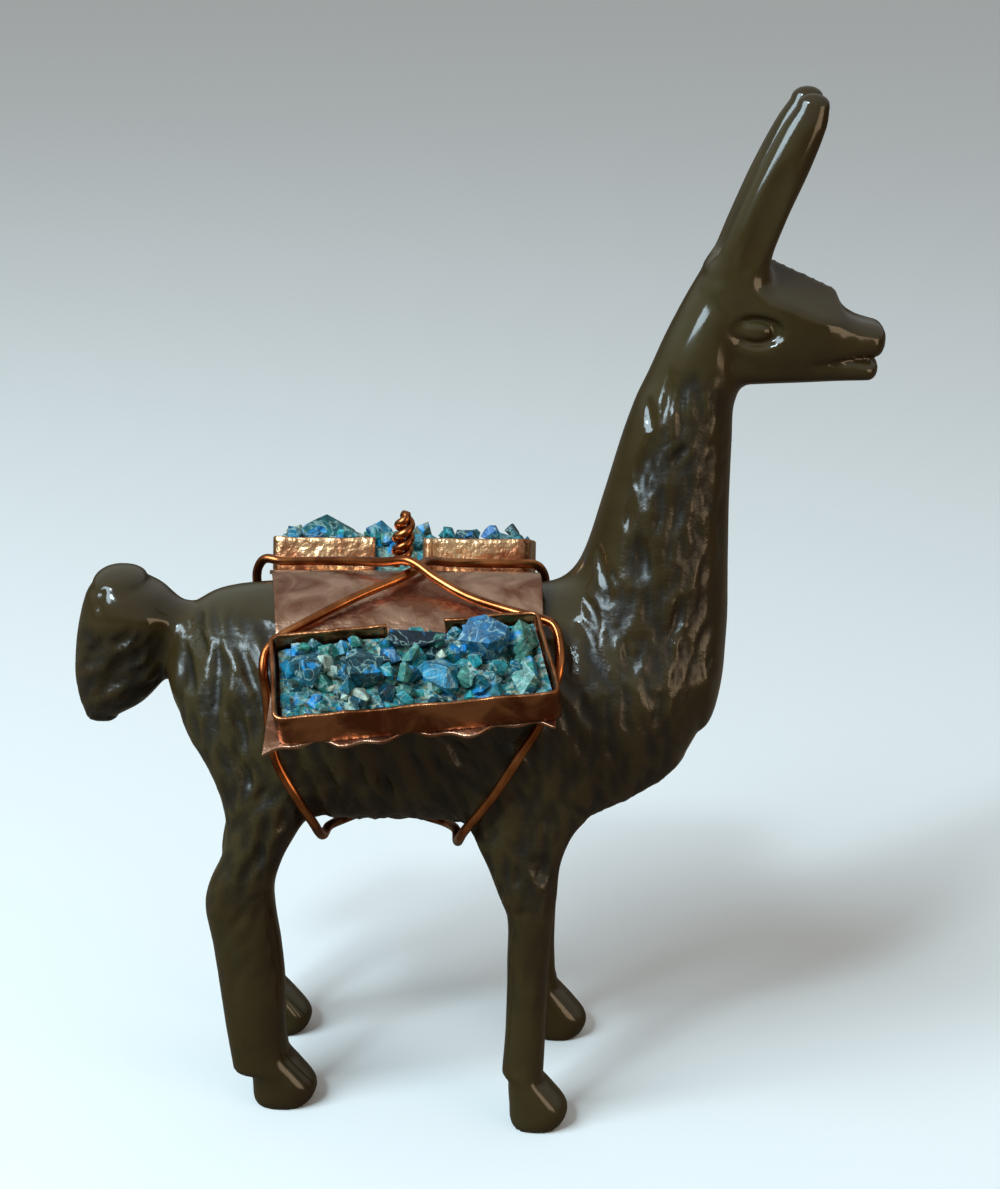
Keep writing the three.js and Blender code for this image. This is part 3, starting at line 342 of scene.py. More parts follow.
# %% The wheel cuts that can be told one by one
# x, z, lean from the vertical towards the head in degrees, length, width, depth, bend
CUTS = [
    # tail
    (-47.5, 56.5, 34, 7, 1.8, 0.5), (-44.6, 57.9, 44, 5.6, 1.7, 0.45), (-45.4, 54, 41, 8.6, 2.4, 0.65),
    (-42.7, 56.4, 22, 5, 2, 0.45), (-45.3, 51.8, 57, 10, 1.5, 0.4, -0.6), (-47, 62.2, 12, 3.6, 0.9, 0.3),
    # rump
    (-35.4, 58.7, -38, 4.4, 2.6, 0.45), (-32.2, 55.1, -2, 9, 2.4, 0.6), (-28.5, 56.6, -23, 10.4, 2.3, 0.6),
    (-30.2, 50.5, -18, 7.6, 1.9, 0.5, 0.6), (-26.8, 60.6, -45, 2.8, 1.4, 0.35),
    # hip and hind leg
    (-29.3, 45.1, -25, 5.8, 1.6, 0.55), (-27.2, 41.6, 44, 3.8, 1.5, 0.5), (-24.6, 38.7, 19, 3.2, 1.2, 0.4),
    (-28.1, 35.1, 19, 10, 1.8, 0.55, 0.9), (-29.6, 26.3, 22, 3.8, 1.3, 0.4),
    # shoulder
    (11, 64, -32, 4.2, 1.4, 0.4), (10.5, 61.8, -37, 3.6, 1.5, 0.4), (12.1, 69.1, -11, 4.8, 1.5, 0.4),
    (13, 66.1, 16, 2.8, 1.5, 0.4),
    # neck
    (16.7, 82.1, 16, 7.8, 2, 0.65), (17, 86.8, -7, 4.4, 1.5, 0.45), (18.6, 89.4, 9, 6.6, 1.6, 0.45, 0.4),
    (20.6, 88, -12, 8, 1.4, 0.4, -0.4), (20.3, 81.9, 20, 5.4, 1.5, 0.45), (19.9, 76.1, -7, 7.6, 1.5, 0.45),
    (16.6, 71, 1, 5.6, 1.9, 0.6), (15, 75.6, 8, 4.4, 1.4, 0.4), (20.7, 64, 8, 6.4, 1.7, 0.5),
    (15.5, 59.7, -13, 5.8, 1.6, 0.45), (23.9, 83.8, 21, 1.8, 1, 0.25), (24.9, 58.5, 22, 2, 1, 0.25),
    # foreleg
    (6, 34.1, -1, 4, 2.5, 0.55), (3, 33, -5, 3.8, 1.2, 0.35), (4.2, 28.6, 72, 3, 1.1, 0.3),
    # mouth, and the flute of the ear
    (38.6, 93.6, 82, 8.4, 1, 0.35), (28.9, 109.6, 20, 14, 3.2, 0.6),
]
BELLY_CUTS = 9
for i in range(BELLY_CUTS):
    t, odd = i / (BELLY_CUTS - 1), i % 2
    CUTS.append((mix(-22.5, 3, t), mix(44.6, 49.4, t * t) - 1.2 * odd, mix(-4, -36, t), 6.6 - odd, 2.1, 0.55, 0.3))


def cut_depth(one, x, z):
    """How deep one scoop goes under each point, and which points it touches."""
    cx, cz, lean, length, width, depth, bend = (*one, 0)[:7]
    c, s = math.cos(math.radians(lean)), math.sin(math.radians(lean))
    reach = length / 2 + width + abs(bend)
    near = np.flatnonzero((np.abs(x - cx) < reach) & (np.abs(z - cz) < reach))
    dx, dz = x[near] - cx, z[near] - cz
    bow = 1 - ((dx * s + dz * c) / (length / 2)) ** 2
    v = (dx * c - dz * s - bend * bow) / (width / 2)
    return near, np.where(bow > 0, depth * np.maximum(bow - v * v, 0), 0)


def carved(x, z):
    deepest = np.zeros_like(x)
    for one in CUTS:
        near, depth = cut_depth(one, x, z)
        deepest[near] = np.maximum(deepest[near], depth)
    return deepest


def stone(x, y, z):
    """The depth of points in the carved stone, in true millimetres near the surface."""
    depth = blank(x, y, z)
    near = np.abs(depth) < 3
    px, py, pz, at = x[near], y[near], z[near], depth[near]
    e = 0.05
    slope = np.sqrt(
        (blank(px + e, py, pz) - at) ** 2 + (blank(px, py + e, pz) - at) ** 2 + (blank(px, py, pz + e) - at) ** 2
    ) / e
    depth[near] = at / np.clip(slope, 0.4, 2) + carved(px, pz)
    return depth


print(len(CUTS), "large cuts")

# %% [markdown]
# A surface net turns the depths into a mesh: every cell that the surface passes through gets one point,
# and the points round each crossed edge of the grid make a face. A few steps down the slope of the depth
# then put each point on the true surface, which keeps the polished planes flat and their ridges crisp.

# %% Net the stone's surface
CELL = 0.5
LOW, HIGH = np.array([-54, -20, -1.3]), np.array([46.5, 17.5, 125])


def depths_on_grid():
    axes = [np.arange(low, high + CELL, CELL) for low, high in zip(LOW, HIGH)]
    depths = np.empty([len(a) for a in axes], np.float32)
    layers = 12
    for k in range(0, len(axes[2]), layers):
        x, y, z = np.meshgrid(axes[0], axes[1], axes[2][k:k + layers], indexing="ij")
        depths[:, :, k:k + layers] = stone(x.ravel(), y.ravel(), z.ravel()).reshape(x.shape)
    return depths


def net(depths):
    inside = depths < 0
    corners = [(i, j, k) for i in (0, 1) for j in (0, 1) for k in (0, 1)]

    def shifted(array, corner):
        return array[tuple(slice(c, array.shape[q] - 1 + c) for q, c in enumerate(corner))]

    count = sum(shifted(inside, c).astype(np.int8) for c in corners)
    cells = np.argwhere((count > 0) & (count < 8))
    values = {c: shifted(depths, c)[tuple(cells.T)] for c in corners}
    total, hits = np.zeros((len(cells), 3)), np.zeros(len(cells))
    for a in corners:
        for q in range(3):
            if a[q]:
                continue
            b = tuple(c + (q == r) for r, c in enumerate(a))
            crossed = (values[a] < 0) != (values[b] < 0)
            t = values[a][crossed] / (values[a][crossed] - values[b][crossed])
            at = np.tile(np.array(a, float), (len(t), 1))
            at[:, q] += t
            total[crossed] += at
            hits[crossed] += 1
    points = LOW + (cells + total / hits[:, None]) * CELL
    number = np.full(count.shape, -1, np.int32)
    number[tuple(cells.T)] = np.arange(len(cells))
    faces = []
    for q in range(3):
        b, c = (q + 1) % 3, (q + 2) % 3
        ahead = [slice(None)] * 3
        here = [slice(None)] * 3
        ahead[q], here[q] = slice(1, None), slice(None, -1)
        first, second = inside[tuple(here)], inside[tuple(ahead)]
        edges = np.argwhere(first != second)
        ring = []
        for back_b, back_c in ((1, 1), (0, 1), (0, 0), (1, 0)):
            cell = edges.copy()
            cell[:, b] -= back_b
            cell[:, c] -= back_c
            ring.append(number[tuple(cell.T)])
        ring = np.array(ring).T
        flip = ~first[tuple(edges.T)]
        ring[flip] = ring[flip][:, ::-1]
        faces.append(ring)
    return points, np.concatenate(faces)


def settle(points, turns=3):
    start = points.copy()
    e = 0.04
    for _ in range(turns):
        at = stone(*points.T)
        slope = np.stack([(stone(*(points + e * np.eye(3)[q]).T) - at) / e for q in range(3)], 1)
        points = points - slope * (at / np.maximum((slope**2).sum(1), 0.3))[:, None]
        points = np.clip(points, start - CELL * 0.7, start + CELL * 0.7)
    points[points[:, 2] < 0.12, 2] = 0
    return points


stone_points, stone_faces = net(depths_on_grid())
stone_points = settle(stone_points)
print("stone:", len(stone_points), "points,", 2 * len(stone_faces), "triangles")

# %% [markdown]
# Between the large cuts the whole coat is worked with small ones that follow the fall of the wool. They
# are laid on a jittered grid and lean as their nearest large cuts do. The back, the chest, the head, the
# ears and the legs below the cuff stay polished, so each point gets a share of wool, which the finish
# uses too.

# %% Where the coat is carved
rng = random.Random(7)


def rough(p, cell, seed):
    """Smooth noise from -1 to 1 whose lumps are about one cell across."""
    q = p / cell + seed * 17.3
    base = np.floor(q).astype(np.int64)
    part = q - base
    part = part * part * (3 - 2 * part)
    total = np.zeros(len(p))
    for i in (0, 1):
        for j in (0, 1):
            for k in (0, 1):
                n = base + [i, j, k]
                word = (n[:, 0] * 73856093) ^ (n[:, 1] * 19349663) ^ (n[:, 2] * 83492791) ^ (seed * 7919)
                word = (word * 1103515245 + 12345) & 0x7FFFFFFF
                word = ((word >> 7) * 48271 + 11) & 0x7FFFFFFF
                value = (word % 20011) / 10005.5 - 1
                weight = np.abs(1 - i - part[:, 0]) * np.abs(1 - j - part[:, 1]) * np.abs(1 - k - part[:, 2])
                total += value * weight
    return total


def wool_share(p, normal):
    x, y, z = (p + 1.3 * np.stack([rough(p, 5, s) for s in (1, 2, 3)], 1)).T
    facing = step_between(np.abs(normal[:, 1]), 0.12, 0.5)
    flank = step_between(z, 62.5, 60) * step_between(x, -39, -36) * step_between(z, 20, 34)
    flank *= step_between(x, 24, 20)
    neck_back = np.interp(z, [56, 70, 83, 95], [8, 12.4, 16, 20.5])
    throat = step_between(x, neck_back - 0.5, neck_back + 1.5) * step_between(x, 27.5, 23)
    throat *= step_between(z, 93, 90) * step_between(z, 50, 60)
    brush = step_between(x, -39.5, -41.5) * step_between(z, 59.5, 57.5)
    legs_low = 0.35 * step_between(z, 8, 12) * step_between(z, 36, 30)
    return facing * np.clip(np.maximum.reduce([flank, throat, brush, legs_low]), 0, 1)


# %% Lay the small cuts and the wheel's chatter on the coat
def normals_of(points, faces):
    a, b, c, d = (points[faces[:, i]] for i in range(4))
    face_normal = np.cross(c - a, d - b)
    total = np.zeros_like(points)
    for i in range(4):
        np.add.at(total, faces[:, i], face_normal)
    return total / np.maximum(np.linalg.norm(total, axis=1), 1e-9)[:, None]


def lean_at(x, z):
    near = [((x - c[0]) ** 2 + (z - c[1]) ** 2 + 4, c[2]) for c in CUTS[:-1] if c[2] < 60]
    return sum(lean / gap**1.5 for gap, lean in near) / sum(1 / gap**1.5 for gap, _ in near)


def small_cuts():
    cuts = []
    for side in (-1, 1):
        for row in range(38):
            for place in range(58):
                x, z = -52 + place * 1.55 + rng.uniform(-1, 1), 18 + row * 2.1 + rng.uniform(-1.3, 1.3)
                if rng.random() < 0.25:
                    continue
                lean = lean_at(x, z) + rng.gauss(0, 13)
                size = rng.uniform(0.6, 1)
                cuts.append((side, (x, z, lean, 6.4 * size, 1.9 * size, 0.42 * size, rng.uniform(-0.4, 0.4))))
    return cuts


stone_normals = normals_of(stone_points, stone_faces)
wool = wool_share(stone_points, stone_normals)
fine_cut = np.zeros(len(stone_points))
sx, sy, sz = stone_points.T
for side, one in small_cuts():
    near, depth = cut_depth(one, sx, sz)
    here = near[sy[near] * side > 0]
    fine_cut[here] = np.maximum(fine_cut[here], depth[sy[near] * side > 0])
chatter = np.abs(rough(stone_points * [1, 1, 0.45], 1.1, 5)) - 0.35 + 0.4 * rough(stone_points, 0.9, 6)
relief = -wool * (fine_cut + 0.1 * chatter) + 0.03 * rough(stone_points, 4, 8)
relief[sz < 0.5] = 0
stone_points = stone_points + stone_normals * relief[:, None]
print("relief in mm: deepest", relief.min().round(2), "highest", relief.max().round(2))

# %% [markdown]
# Colours are picked as sRGB hex values, as a screen shows them, while the renderer works in linear
# light, so one function turns the one into the other. One more adds a node to a material with its
# settings and its links.

# %% Colour and node helpers


def linear(hex_colour):
    parts = [int(hex_colour[i:i + 2], 16) / 255 for i in (1, 3, 5)]
    return (*[c / 12.92 if c <= 0.04045 else ((c + 0.055) / 1.055) ** 2.4 for c in parts], 1)


def new_material(name):
    material = bpy.data.materials.new(name)
    material.use_nodes = True
    tree = material.node_tree
    return material, tree, tree.nodes["Principled BSDF"]


def node(tree, kind, inputs=(), **settings):
    """Adds a node. A value in inputs is a socket to link or a constant to set."""
    made = tree.nodes.new(kind)
    for name, value in settings.items():
        setattr(made, name, value)
    for name, value in dict(inputs).items():
        if isinstance(value, bpy.types.NodeSocket):
            tree.links.new(value, made.inputs[name])
        else:
            made.inputs[name].default_value = value
    return made


# %% [markdown]
# The stone is a dark volcanic glass-like stone, sawn, ground to shape with wheels and polished on a soft
# buff. Its colour lies in wide soft bands of olive grey and brown, because the sheen in such stone lies
# in layers. The polish gives clear reflections on the back, the chest and the head. In the carved coat
# the buff only reaches the crests, so the hollows stay dull, and their colour is darkened with the depth
# of each small cut as painted shade.

# %% Dark stone, ground and polished
stone_finish, tree, shader = new_material("dark_stone_polished")
place = node(tree, "ShaderNodeTexCoord").outputs["Object"]
bands = node(tree, "ShaderNodeTexNoise", {"Vector": place, "Scale": 60, "Detail": 3, "Distortion": 0.6})
clouds = node(tree, "ShaderNodeTexNoise", {"Vector": place, "Scale": 260, "Detail": 6, "Roughness": 0.62})
body_colour = node(tree, "ShaderNodeValToRGB", {"Fac": bands.outputs["Fac"]})
stops = body_colour.color_ramp
stops.elements[0].position, stops.elements[0].color = 0.36, linear("#271d0e")
stops.elements[1].position, stops.elements[1].color = 0.62, linear("#3c351f")
stops.elements.new(0.5).color = linear("#322713")
spots = node(tree, "ShaderNodeMix", {
    "Factor": clouds.outputs["Fac"], "A": body_colour.outputs["Color"], "B": linear("#40331a"),
}, data_type="RGBA", blend_type="MIX")
wool_map = node(tree, "ShaderNodeAttribute", attribute_name="wool")
groove_shade_and_dullness_map = node(tree, "ShaderNodeAttribute", attribute_name="groove_shade_and_dullness")
# painted shade: the colour is mixed towards near black with the depth of the small cuts, darkest in the grooves
deep = node(tree, "ShaderNodeMix", {
    "Factor": groove_shade_and_dullness_map.outputs["Fac"], "A": spots.outputs["Result"], "B": linear("#1a150d"),
}, data_type="RGBA")
roughness = node(tree, "ShaderNodeMapRange", {
    "Value": wool_map.outputs["Fac"], "To Min": 0.13, "To Max": 0.24,
})
more_rough = node(tree, "ShaderNodeMath", {0: groove_shade_and_dullness_map.outputs["Fac"], 1: 0.22, 2: roughness.outputs["Result"]},
                  operation="MULTIPLY_ADD")
# the buff leaves fine scratches and pits of about 0.3 mm in the coat
pits = node(tree, "ShaderNodeTexNoise", {"Vector": place, "Scale": 1500, "Detail": 3})
pit_height = node(tree, "ShaderNodeMath", {0: pits.outputs["Fac"], 1: wool_map.outputs["Fac"]}, operation="MULTIPLY")
bump = node(tree, "ShaderNodeBump", {"Height": pit_height.outputs["Value"], "Strength": 0.6, "Distance": 0.00012})
for socket, source in (
    ("Base Color", deep.outputs["Result"]), ("Roughness", more_rough.outputs["Value"]), ("Normal", bump.outputs["Normal"]),
):
    tree.links.new(source, shader.inputs[socket])
shader.inputs["IOR"].default_value = 1.52
print("stone finish:", len(tree.nodes), "nodes")

# %% Build the llama
llama = mesh_piece("carved_llama", stone_points, stone_faces)
# the second share is the depth of the small cuts, which the finish uses for painted shade in the grooves and for
# their duller polish
for name, values in (("wool", wool), ("groove_shade_and_dullness", np.clip(wool * fine_cut / 0.4, 0, 1))):
    layer = llama.data.attributes.new(name, "FLOAT", "POINT")
    layer.data.foreach_set("value", values.astype(np.float32))
stands_for(llama, "llama", stone_finish)

# %% [markdown]
# Each tray has its own frame: u runs from its inner back corner towards the head, v outward across its
# floor, and w up from its floor. The near tray hangs down more steeply than the far one.

# %% The trays' places
TRAY_WIDTH = 12
SHEET = 0.5
WIRE = 1.15
CLEARANCE = 0.32
NEAR = dict(corner=(-23.9, -13.1, 58.3), yaw=3, pitch=6.6, tilt=28.7, side=-1, length=29, height=4.6,
            inner_flare=(1, 0), outer_flare=(0.4, 1.6), gap=(12, 18.6), curl=0)
FAR_SIDE = dict(corner=(-28.5, 13, 61.5), yaw=0, pitch=1.1, tilt=17, side=1, length=31.2, height=4.2,
                inner_flare=(0, 0), outer_flare=(0.3, 0.5), gap=(12.4, 19), curl=1.1)


def directions(tray):
    a, p, t = (math.radians(tray[key]) for key in ("yaw", "pitch", "tilt"))
    side = tray["side"]
    u = np.array([math.cos(a) * math.cos(p), math.sin(a) * math.cos(p), math.sin(p)])
    level = np.array([-side * math.sin(a), side * math.cos(a), 0])
    up = side * np.cross(u, level)
    return np.array([u, level * math.cos(t) - up * math.sin(t), up * math.cos(t) + level * math.sin(t)])


for tray in (NEAR, FAR_SIDE):
    tray["axes"] = directions(tray)


def from_tray(tray, uvw):
    return np.array(tray["corner"]) + np.asarray(uvw, float) @ tray["axes"]


print("near tray's floor slopes out along", NEAR["axes"][1].round(2))

# %% [markdown]
# The saddle is one strip of copper bent over the back. Its height over x, y is the higher of the two
# floors' planes, rounded at the ridge, and never less than the stone plus a small gap.

# %% The saddle's height


def floor_height(tray, x, y):
    corner, w = tray["corner"], tray["axes"][2]
    return corner[2] - ((x - corner[0]) * w[0] + (y - corner[1]) * w[1]) / w[2]


def above_stone(x, y, off):
    low, high = np.full(len(x), 50.0), np.full(len(x), 72.0)
    for _ in range(16):
        middle = (low + high) / 2
        under = blank(x, y, middle) < off
        low, high = np.where(under, middle, low), np.where(under, high, middle)
    return low


def saddle(x, y):
    x, y = np.atleast_1d(np.asarray(x, float)), np.atleast_1d(np.asarray(y, float))
    roof = join(floor_height(NEAR, x, y), floor_height(FAR_SIDE, x, y), 3) - SHEET / 2
    return cut(roof, above_stone(x, y, CLEARANCE + SHEET / 2 + 0.08), 0.4)


print("the saddle's ridge is at z =", saddle(-12, 0).round(2))

# %% [markdown]
# The copper is thin soft sheet, cut with hand shears and beaten with a small hammer, so its face is a
# patchwork of shallow dents a few millimetres across, each a small mirror. Handling has left it pinkish
# gold with brown patches. Copper is a metal, so its colour is in its reflection.

# %% Copper sheet, beaten


def copper_sheet(name, light, dark, dent):
    material, tree, shader = new_material(name)
    place = node(tree, "ShaderNodeTexCoord").outputs["Object"]
    patina = node(tree, "ShaderNodeTexNoise", {"Vector": place, "Scale": 190, "Detail": 5, "Distortion": 0.8})
    ramp = node(tree, "ShaderNodeValToRGB", {"Fac": patina.outputs["Fac"]})
    ramp.color_ramp.elements[0].position, ramp.color_ramp.elements[0].color = 0.4, linear(dark)
    ramp.color_ramp.elements[1].position, ramp.color_ramp.elements[1].color = 0.62, linear(light)
    # dents about 2 mm across, and a crumple of about 0.7 mm over them
    dents = node(tree, "ShaderNodeTexVoronoi", {"Vector": place, "Scale": 480}, feature="SMOOTH_F1")
    crumple = node(tree, "ShaderNodeTexNoise", {"Vector": place, "Scale": 1100, "Detail": 3})
    height = node(tree, "ShaderNodeMath", {0: dents.outputs["Distance"], 1: crumple.outputs["Fac"]}, operation="ADD")
    bump = node(tree, "ShaderNodeBump", {"Height": height.outputs["Value"], "Strength": dent, "Distance": 0.0003})
    rough_map = node(tree, "ShaderNodeMapRange", {"Value": patina.outputs["Fac"], "To Min": 0.42, "To Max": 0.22})
    for socket, source in (
        ("Base Color", ramp.outputs["Color"]), ("Roughness", rough_map.outputs["Result"]), ("Normal", bump.outputs["Normal"]),
    ):
        tree.links.new(source, shader.inputs[socket])
    shader.inputs["Metallic"].default_value = 1
    return material


saddle_finish = copper_sheet("copper_sheet_beaten", "#e3b597", "#9c6a50", 0.5)
# The two walls take copies of the same copper: the far wall's is lighter, as painted light, and the near wall's is
# darker and browner, as painted shade.
far_wall_finish = copper_sheet("copper_sheet_painted_lighter", "#f0bf8f", "#b5714d", 0.7)
near_wall_finish = copper_sheet("copper_sheet_painted_darker", "#c98559", "#7d4527", 0.35)

# %% Build the saddle sheet
SADDLE = dict(back=(-25.3, -29.2), front=(5.7, 3.9), front_tip=7.3, ends=(-24.3, 25.2))
saddle_across, saddle_along = 120, 64


def wave(x):
    return 0.45 * np.sin(0.55 * x) + 0.3 * np.sin(1.3 * x + 1)


def saddle_grid():
    y0, y1 = SADDLE["ends"]
    y = np.linspace(y0, y1, saddle_across + 1)[:, None]
    to_head = np.clip((y + 12) / 24, 0, 1)
    back = mix(*SADDLE["back"], to_head)
    tip = (SADDLE["front_tip"] - SADDLE["front"][0]) * np.clip((-12 - y) / 10, 0, 1)
    front = mix(*SADDLE["front"], to_head) + tip
    x = mix(back, front, np.linspace(0, 1, saddle_along + 1)[None, :])
    near_edge = math.sin(math.radians(NEAR["yaw"])) * (x - SADDLE["back"][0]) + wave(x)
    close = [np.clip(1 - np.abs(y - end) / 3, 0, 1) for end in (y0, y1)]
    y = y + close[0] * near_edge - close[1] * wave(x)
    return x, y


gx, gy = saddle_grid()
gz = saddle(gx.ravel(), gy.ravel()).reshape(gx.shape)
saddle_points = np.stack([gx, gy, gz], -1).reshape(-1, 3)
gz += (0.07 * rough(saddle_points * [1, 1, 0], 2.4, 21) + 0.04 * rough(saddle_points * [1, 1, 0], 1.2, 22)).reshape(gz.shape)
saddle_points = np.stack([gx, gy, gz], -1).reshape(-1, 3)
row = saddle_along + 1
saddle_faces = [
    [i * row + j, i * row + j + 1, (i + 1) * row + j + 1, (i + 1) * row + j]
    for i in range(saddle_across) for j in range(saddle_along)
]
saddle_piece = mesh_piece("beaten_saddle", saddle_points, saddle_faces)
thick = saddle_piece.modifiers.new("sheet", "SOLIDIFY")
thick.thickness, thick.offset = SHEET * MM, 0
soft_edge = saddle_piece.modifiers.new("burr", "BEVEL")
soft_edge.width, soft_edge.segments, soft_edge.limit_method = 0.12 * MM, 2, "ANGLE"
stands_for(saddle_piece, "saddle_sheet", saddle_finish)

# %% [markdown]
# A tray's wall is one strip of the same copper, stood on its edge and bent round four corners, with its
# two ends leaving a gap on the inner side. The strip is swept along its path as a rounded upright
# section, and pushed in and out a little, because it was bent by hand.

# %% Build the trays' walls


def rounded(points, radius, steps):
    path = [points[0]]
    for before, here, after in zip(points, points[1:], points[2:]):
        ends = []
        for p in (before, after):
            d = np.subtract(p, here)
            ends.append(here + d * min(radius / np.hypot(*d), 0.4))
        for t in np.linspace(0, 1, steps + 1):
            path.append(mix(mix(ends[0], np.array(here, float), t), mix(np.array(here, float), ends[1], t), t))
    path.append(points[-1])
    return np.array(path, float)


def evenly(path, gap):
    """The same path with a point every gap millimetres."""
    along = np.concatenate([[0], np.cumsum(np.linalg.norm(np.diff(path, axis=0), axis=1))])
    at = np.linspace(0, along[-1], int(along[-1] / gap) + 1)
    return np.stack([np.interp(at, along, column) for column in path.T], 1)


def tray_wall(name, tray, seed):
    half, flare_in, flare_out = SHEET / 2, tray["inner_flare"], tray["outer_flare"]
    length, (gap_back, gap_front), curl = tray["length"], tray["gap"], tray["curl"]
    outer = TRAY_WIDTH + half
    corners = [
        (gap_back, -half), (-half - flare_in[0], -half), (-half - flare_out[0], outer),
        (length + half + flare_out[1], outer), (length + half + flare_in[1], -half), (gap_front, -half),
    ]
    if curl:
        corners += [(gap_front - 0.5 * curl, -half - curl), (gap_front + 0.5 * curl, -half - 1.4 * curl)]
    path = evenly(rounded(corners, 1, 6), 0.45)
    ahead = np.gradient(path, axis=0)
    ahead /= np.linalg.norm(ahead, axis=1)[:, None]
    out = np.stack([-ahead[:, 1], ahead[:, 0]], 1)
    bottom, top, levels = 0.04, tray["height"], 9
    section = [(-half + 0.1, bottom)]
    section += [(-half, w) for w in np.linspace(bottom + 0.12, top - 0.15, levels)]
    section += [(-half + 0.12, top), (half - 0.12, top)]
    section += [(half, w) for w in np.linspace(top - 0.15, bottom + 0.12, levels)] + [(half - 0.1, bottom)]
    points = []
    for p, q in zip(path, out):
        spot = np.array([[p[0], p[1], 0.0]])
        lean = 0.16 * rough(spot, 3.2, seed)[0]
        for s, w in section:
            rise = w / top
            edge = 0.14 * rough(spot, 2.1, seed + 1)[0] * rise
            shift = s + lean * rise
            points.append((p[0] + q[0] * shift, p[1] + q[1] * shift, w + edge))
    n, rings = len(section), len(path)
    faces = [
        [i * n + k, (i + 1) * n + k, (i + 1) * n + (k + 1) % n, i * n + (k + 1) % n]
        for i in range(rings - 1) for k in range(n)
    ]
    points = from_tray(tray, points)
    piece = mesh_piece(name, points, faces)
    shape = bmesh.new()
    shape.from_mesh(piece.data)
    bmesh.ops.holes_fill(shape, edges=[e for e in shape.edges if e.is_boundary])
    bmesh.ops.recalc_face_normals(shape, faces=shape.faces)
    shape.to_mesh(piece.data)
    shape.free()
    return piece


stands_for(tray_wall("near_tray_wall", NEAR, 31), "near_tray", near_wall_finish)
stands_for(tray_wall("far_tray_wall", FAR_SIDE, 35), "far_tray", far_wall_finish)

# %% [markdown]
# The chips are rough gravel of a blue-green copper mineral, broken with a hammer: flat broken faces,
# sharp edges, and a tint of their own, from ink blue through turquoise to grey green, with pale rock left
# on some. A chip is a lump with random planes cut off it.

# %% One chip


def chip(shape, tint_layer, centre, half, tints, roll, turned=0.5):
    """Adds one broken lump to a bmesh, in the tray's own u, v, w."""
    before = set(shape.verts)
    directions_ = [Vector((roll.gauss(0, 1), roll.gauss(0, 1), roll.gauss(0, 1))).normalized() for _ in range(14)]
    corners = [shape.verts.new([c * h * roll.uniform(0.86, 1.12) for c, h in zip(d, half)]) for d in directions_]
    hull = bmesh.ops.convex_hull(shape, input=corners)
    bmesh.ops.delete(shape, geom=[v for v in hull["geom_interior"] if isinstance(v, bmesh.types.BMVert)], context="VERTS")
    mine = [v for v in shape.verts if v not in before]
    turn = Matrix.Rotation(roll.uniform(-turned, turned), 3, "X") @ Matrix.Rotation(roll.uniform(-turned, turned), 3, "Y")
    turn = turn @ Matrix.Rotation(roll.uniform(-turned, turned), 3, "Z")
    for v in mine:
        v.co = turn @ v.co + Vector(centre)
    tint = Vector(linear(roll.choice(tints)))
    for face in {f for v in mine for f in v.link_faces}:
        shade = roll.uniform(0.75, 1.25)
        for corner in face.loops:
            corner[tint_layer] = (tint[0] * shade, tint[1] * shade, tint[2] * shade, 1)


# %% [markdown]
# Each heap is bedded in its tray: a crumbly bed of fine grit fills it to near the rim, large chips that
# can be told one by one lie where the real ones do, and small ones fill the rest in two layers.

# %% Fill the trays
BLUES = ["#1668a8", "#0f7fc4", "#1a5f86", "#127a9c"]
TEALS = ["#14707c", "#1d8a92", "#0e5361", "#2a9aa0", "#0c3f4e", "#157080"]
GREENS = ["#2f7f72", "#4c8f83", "#5d8b7d", "#3c6e62"]
PALES = ["#a9b5a2", "#8e8a70", "#9fb7ae"]
DARKS = ["#0d2c44", "#0f3550", "#12283a"]
NEAR_LARGE = [
    ((15.2, 1.9, 4.9), (3.6, 1.7, 1.9), DARKS), ((23, 4.2, 5.4), (3.3, 2.4, 3.2), BLUES),
    ((27.2, 3.4, 3.6), (2, 2.7, 2.3), GREENS), ((27.4, 8.4, 3.2), (2, 2.9, 2.1), GREENS),
    ((3, 5, 4.4), (2.5, 2.7, 2.1), TEALS), ((9, 6.4, 4.8), (3.1, 2.4, 2.2), TEALS),
    ((17.6, 8.4, 4.4), (2.9, 2.5, 2.1), BLUES),
]
FAR_LARGE = [
    ((6, 5, 4), (4.1, 2.9, 3.1), ["#0f5a5e"]), ((12.7, 4.8, 3.7), (2.3, 2.7, 2.7), BLUES),
    ((18.6, 5, 1.8), (3.1, 2.5, 1.7), DARKS), ((23.7, 4.6, 3.7), (2, 2.3, 2.4), ["#0c3f4e"]),
    ((27.7, 4.4, 3), (2.1, 2.3, 1.9), ["#12486a"]),
]


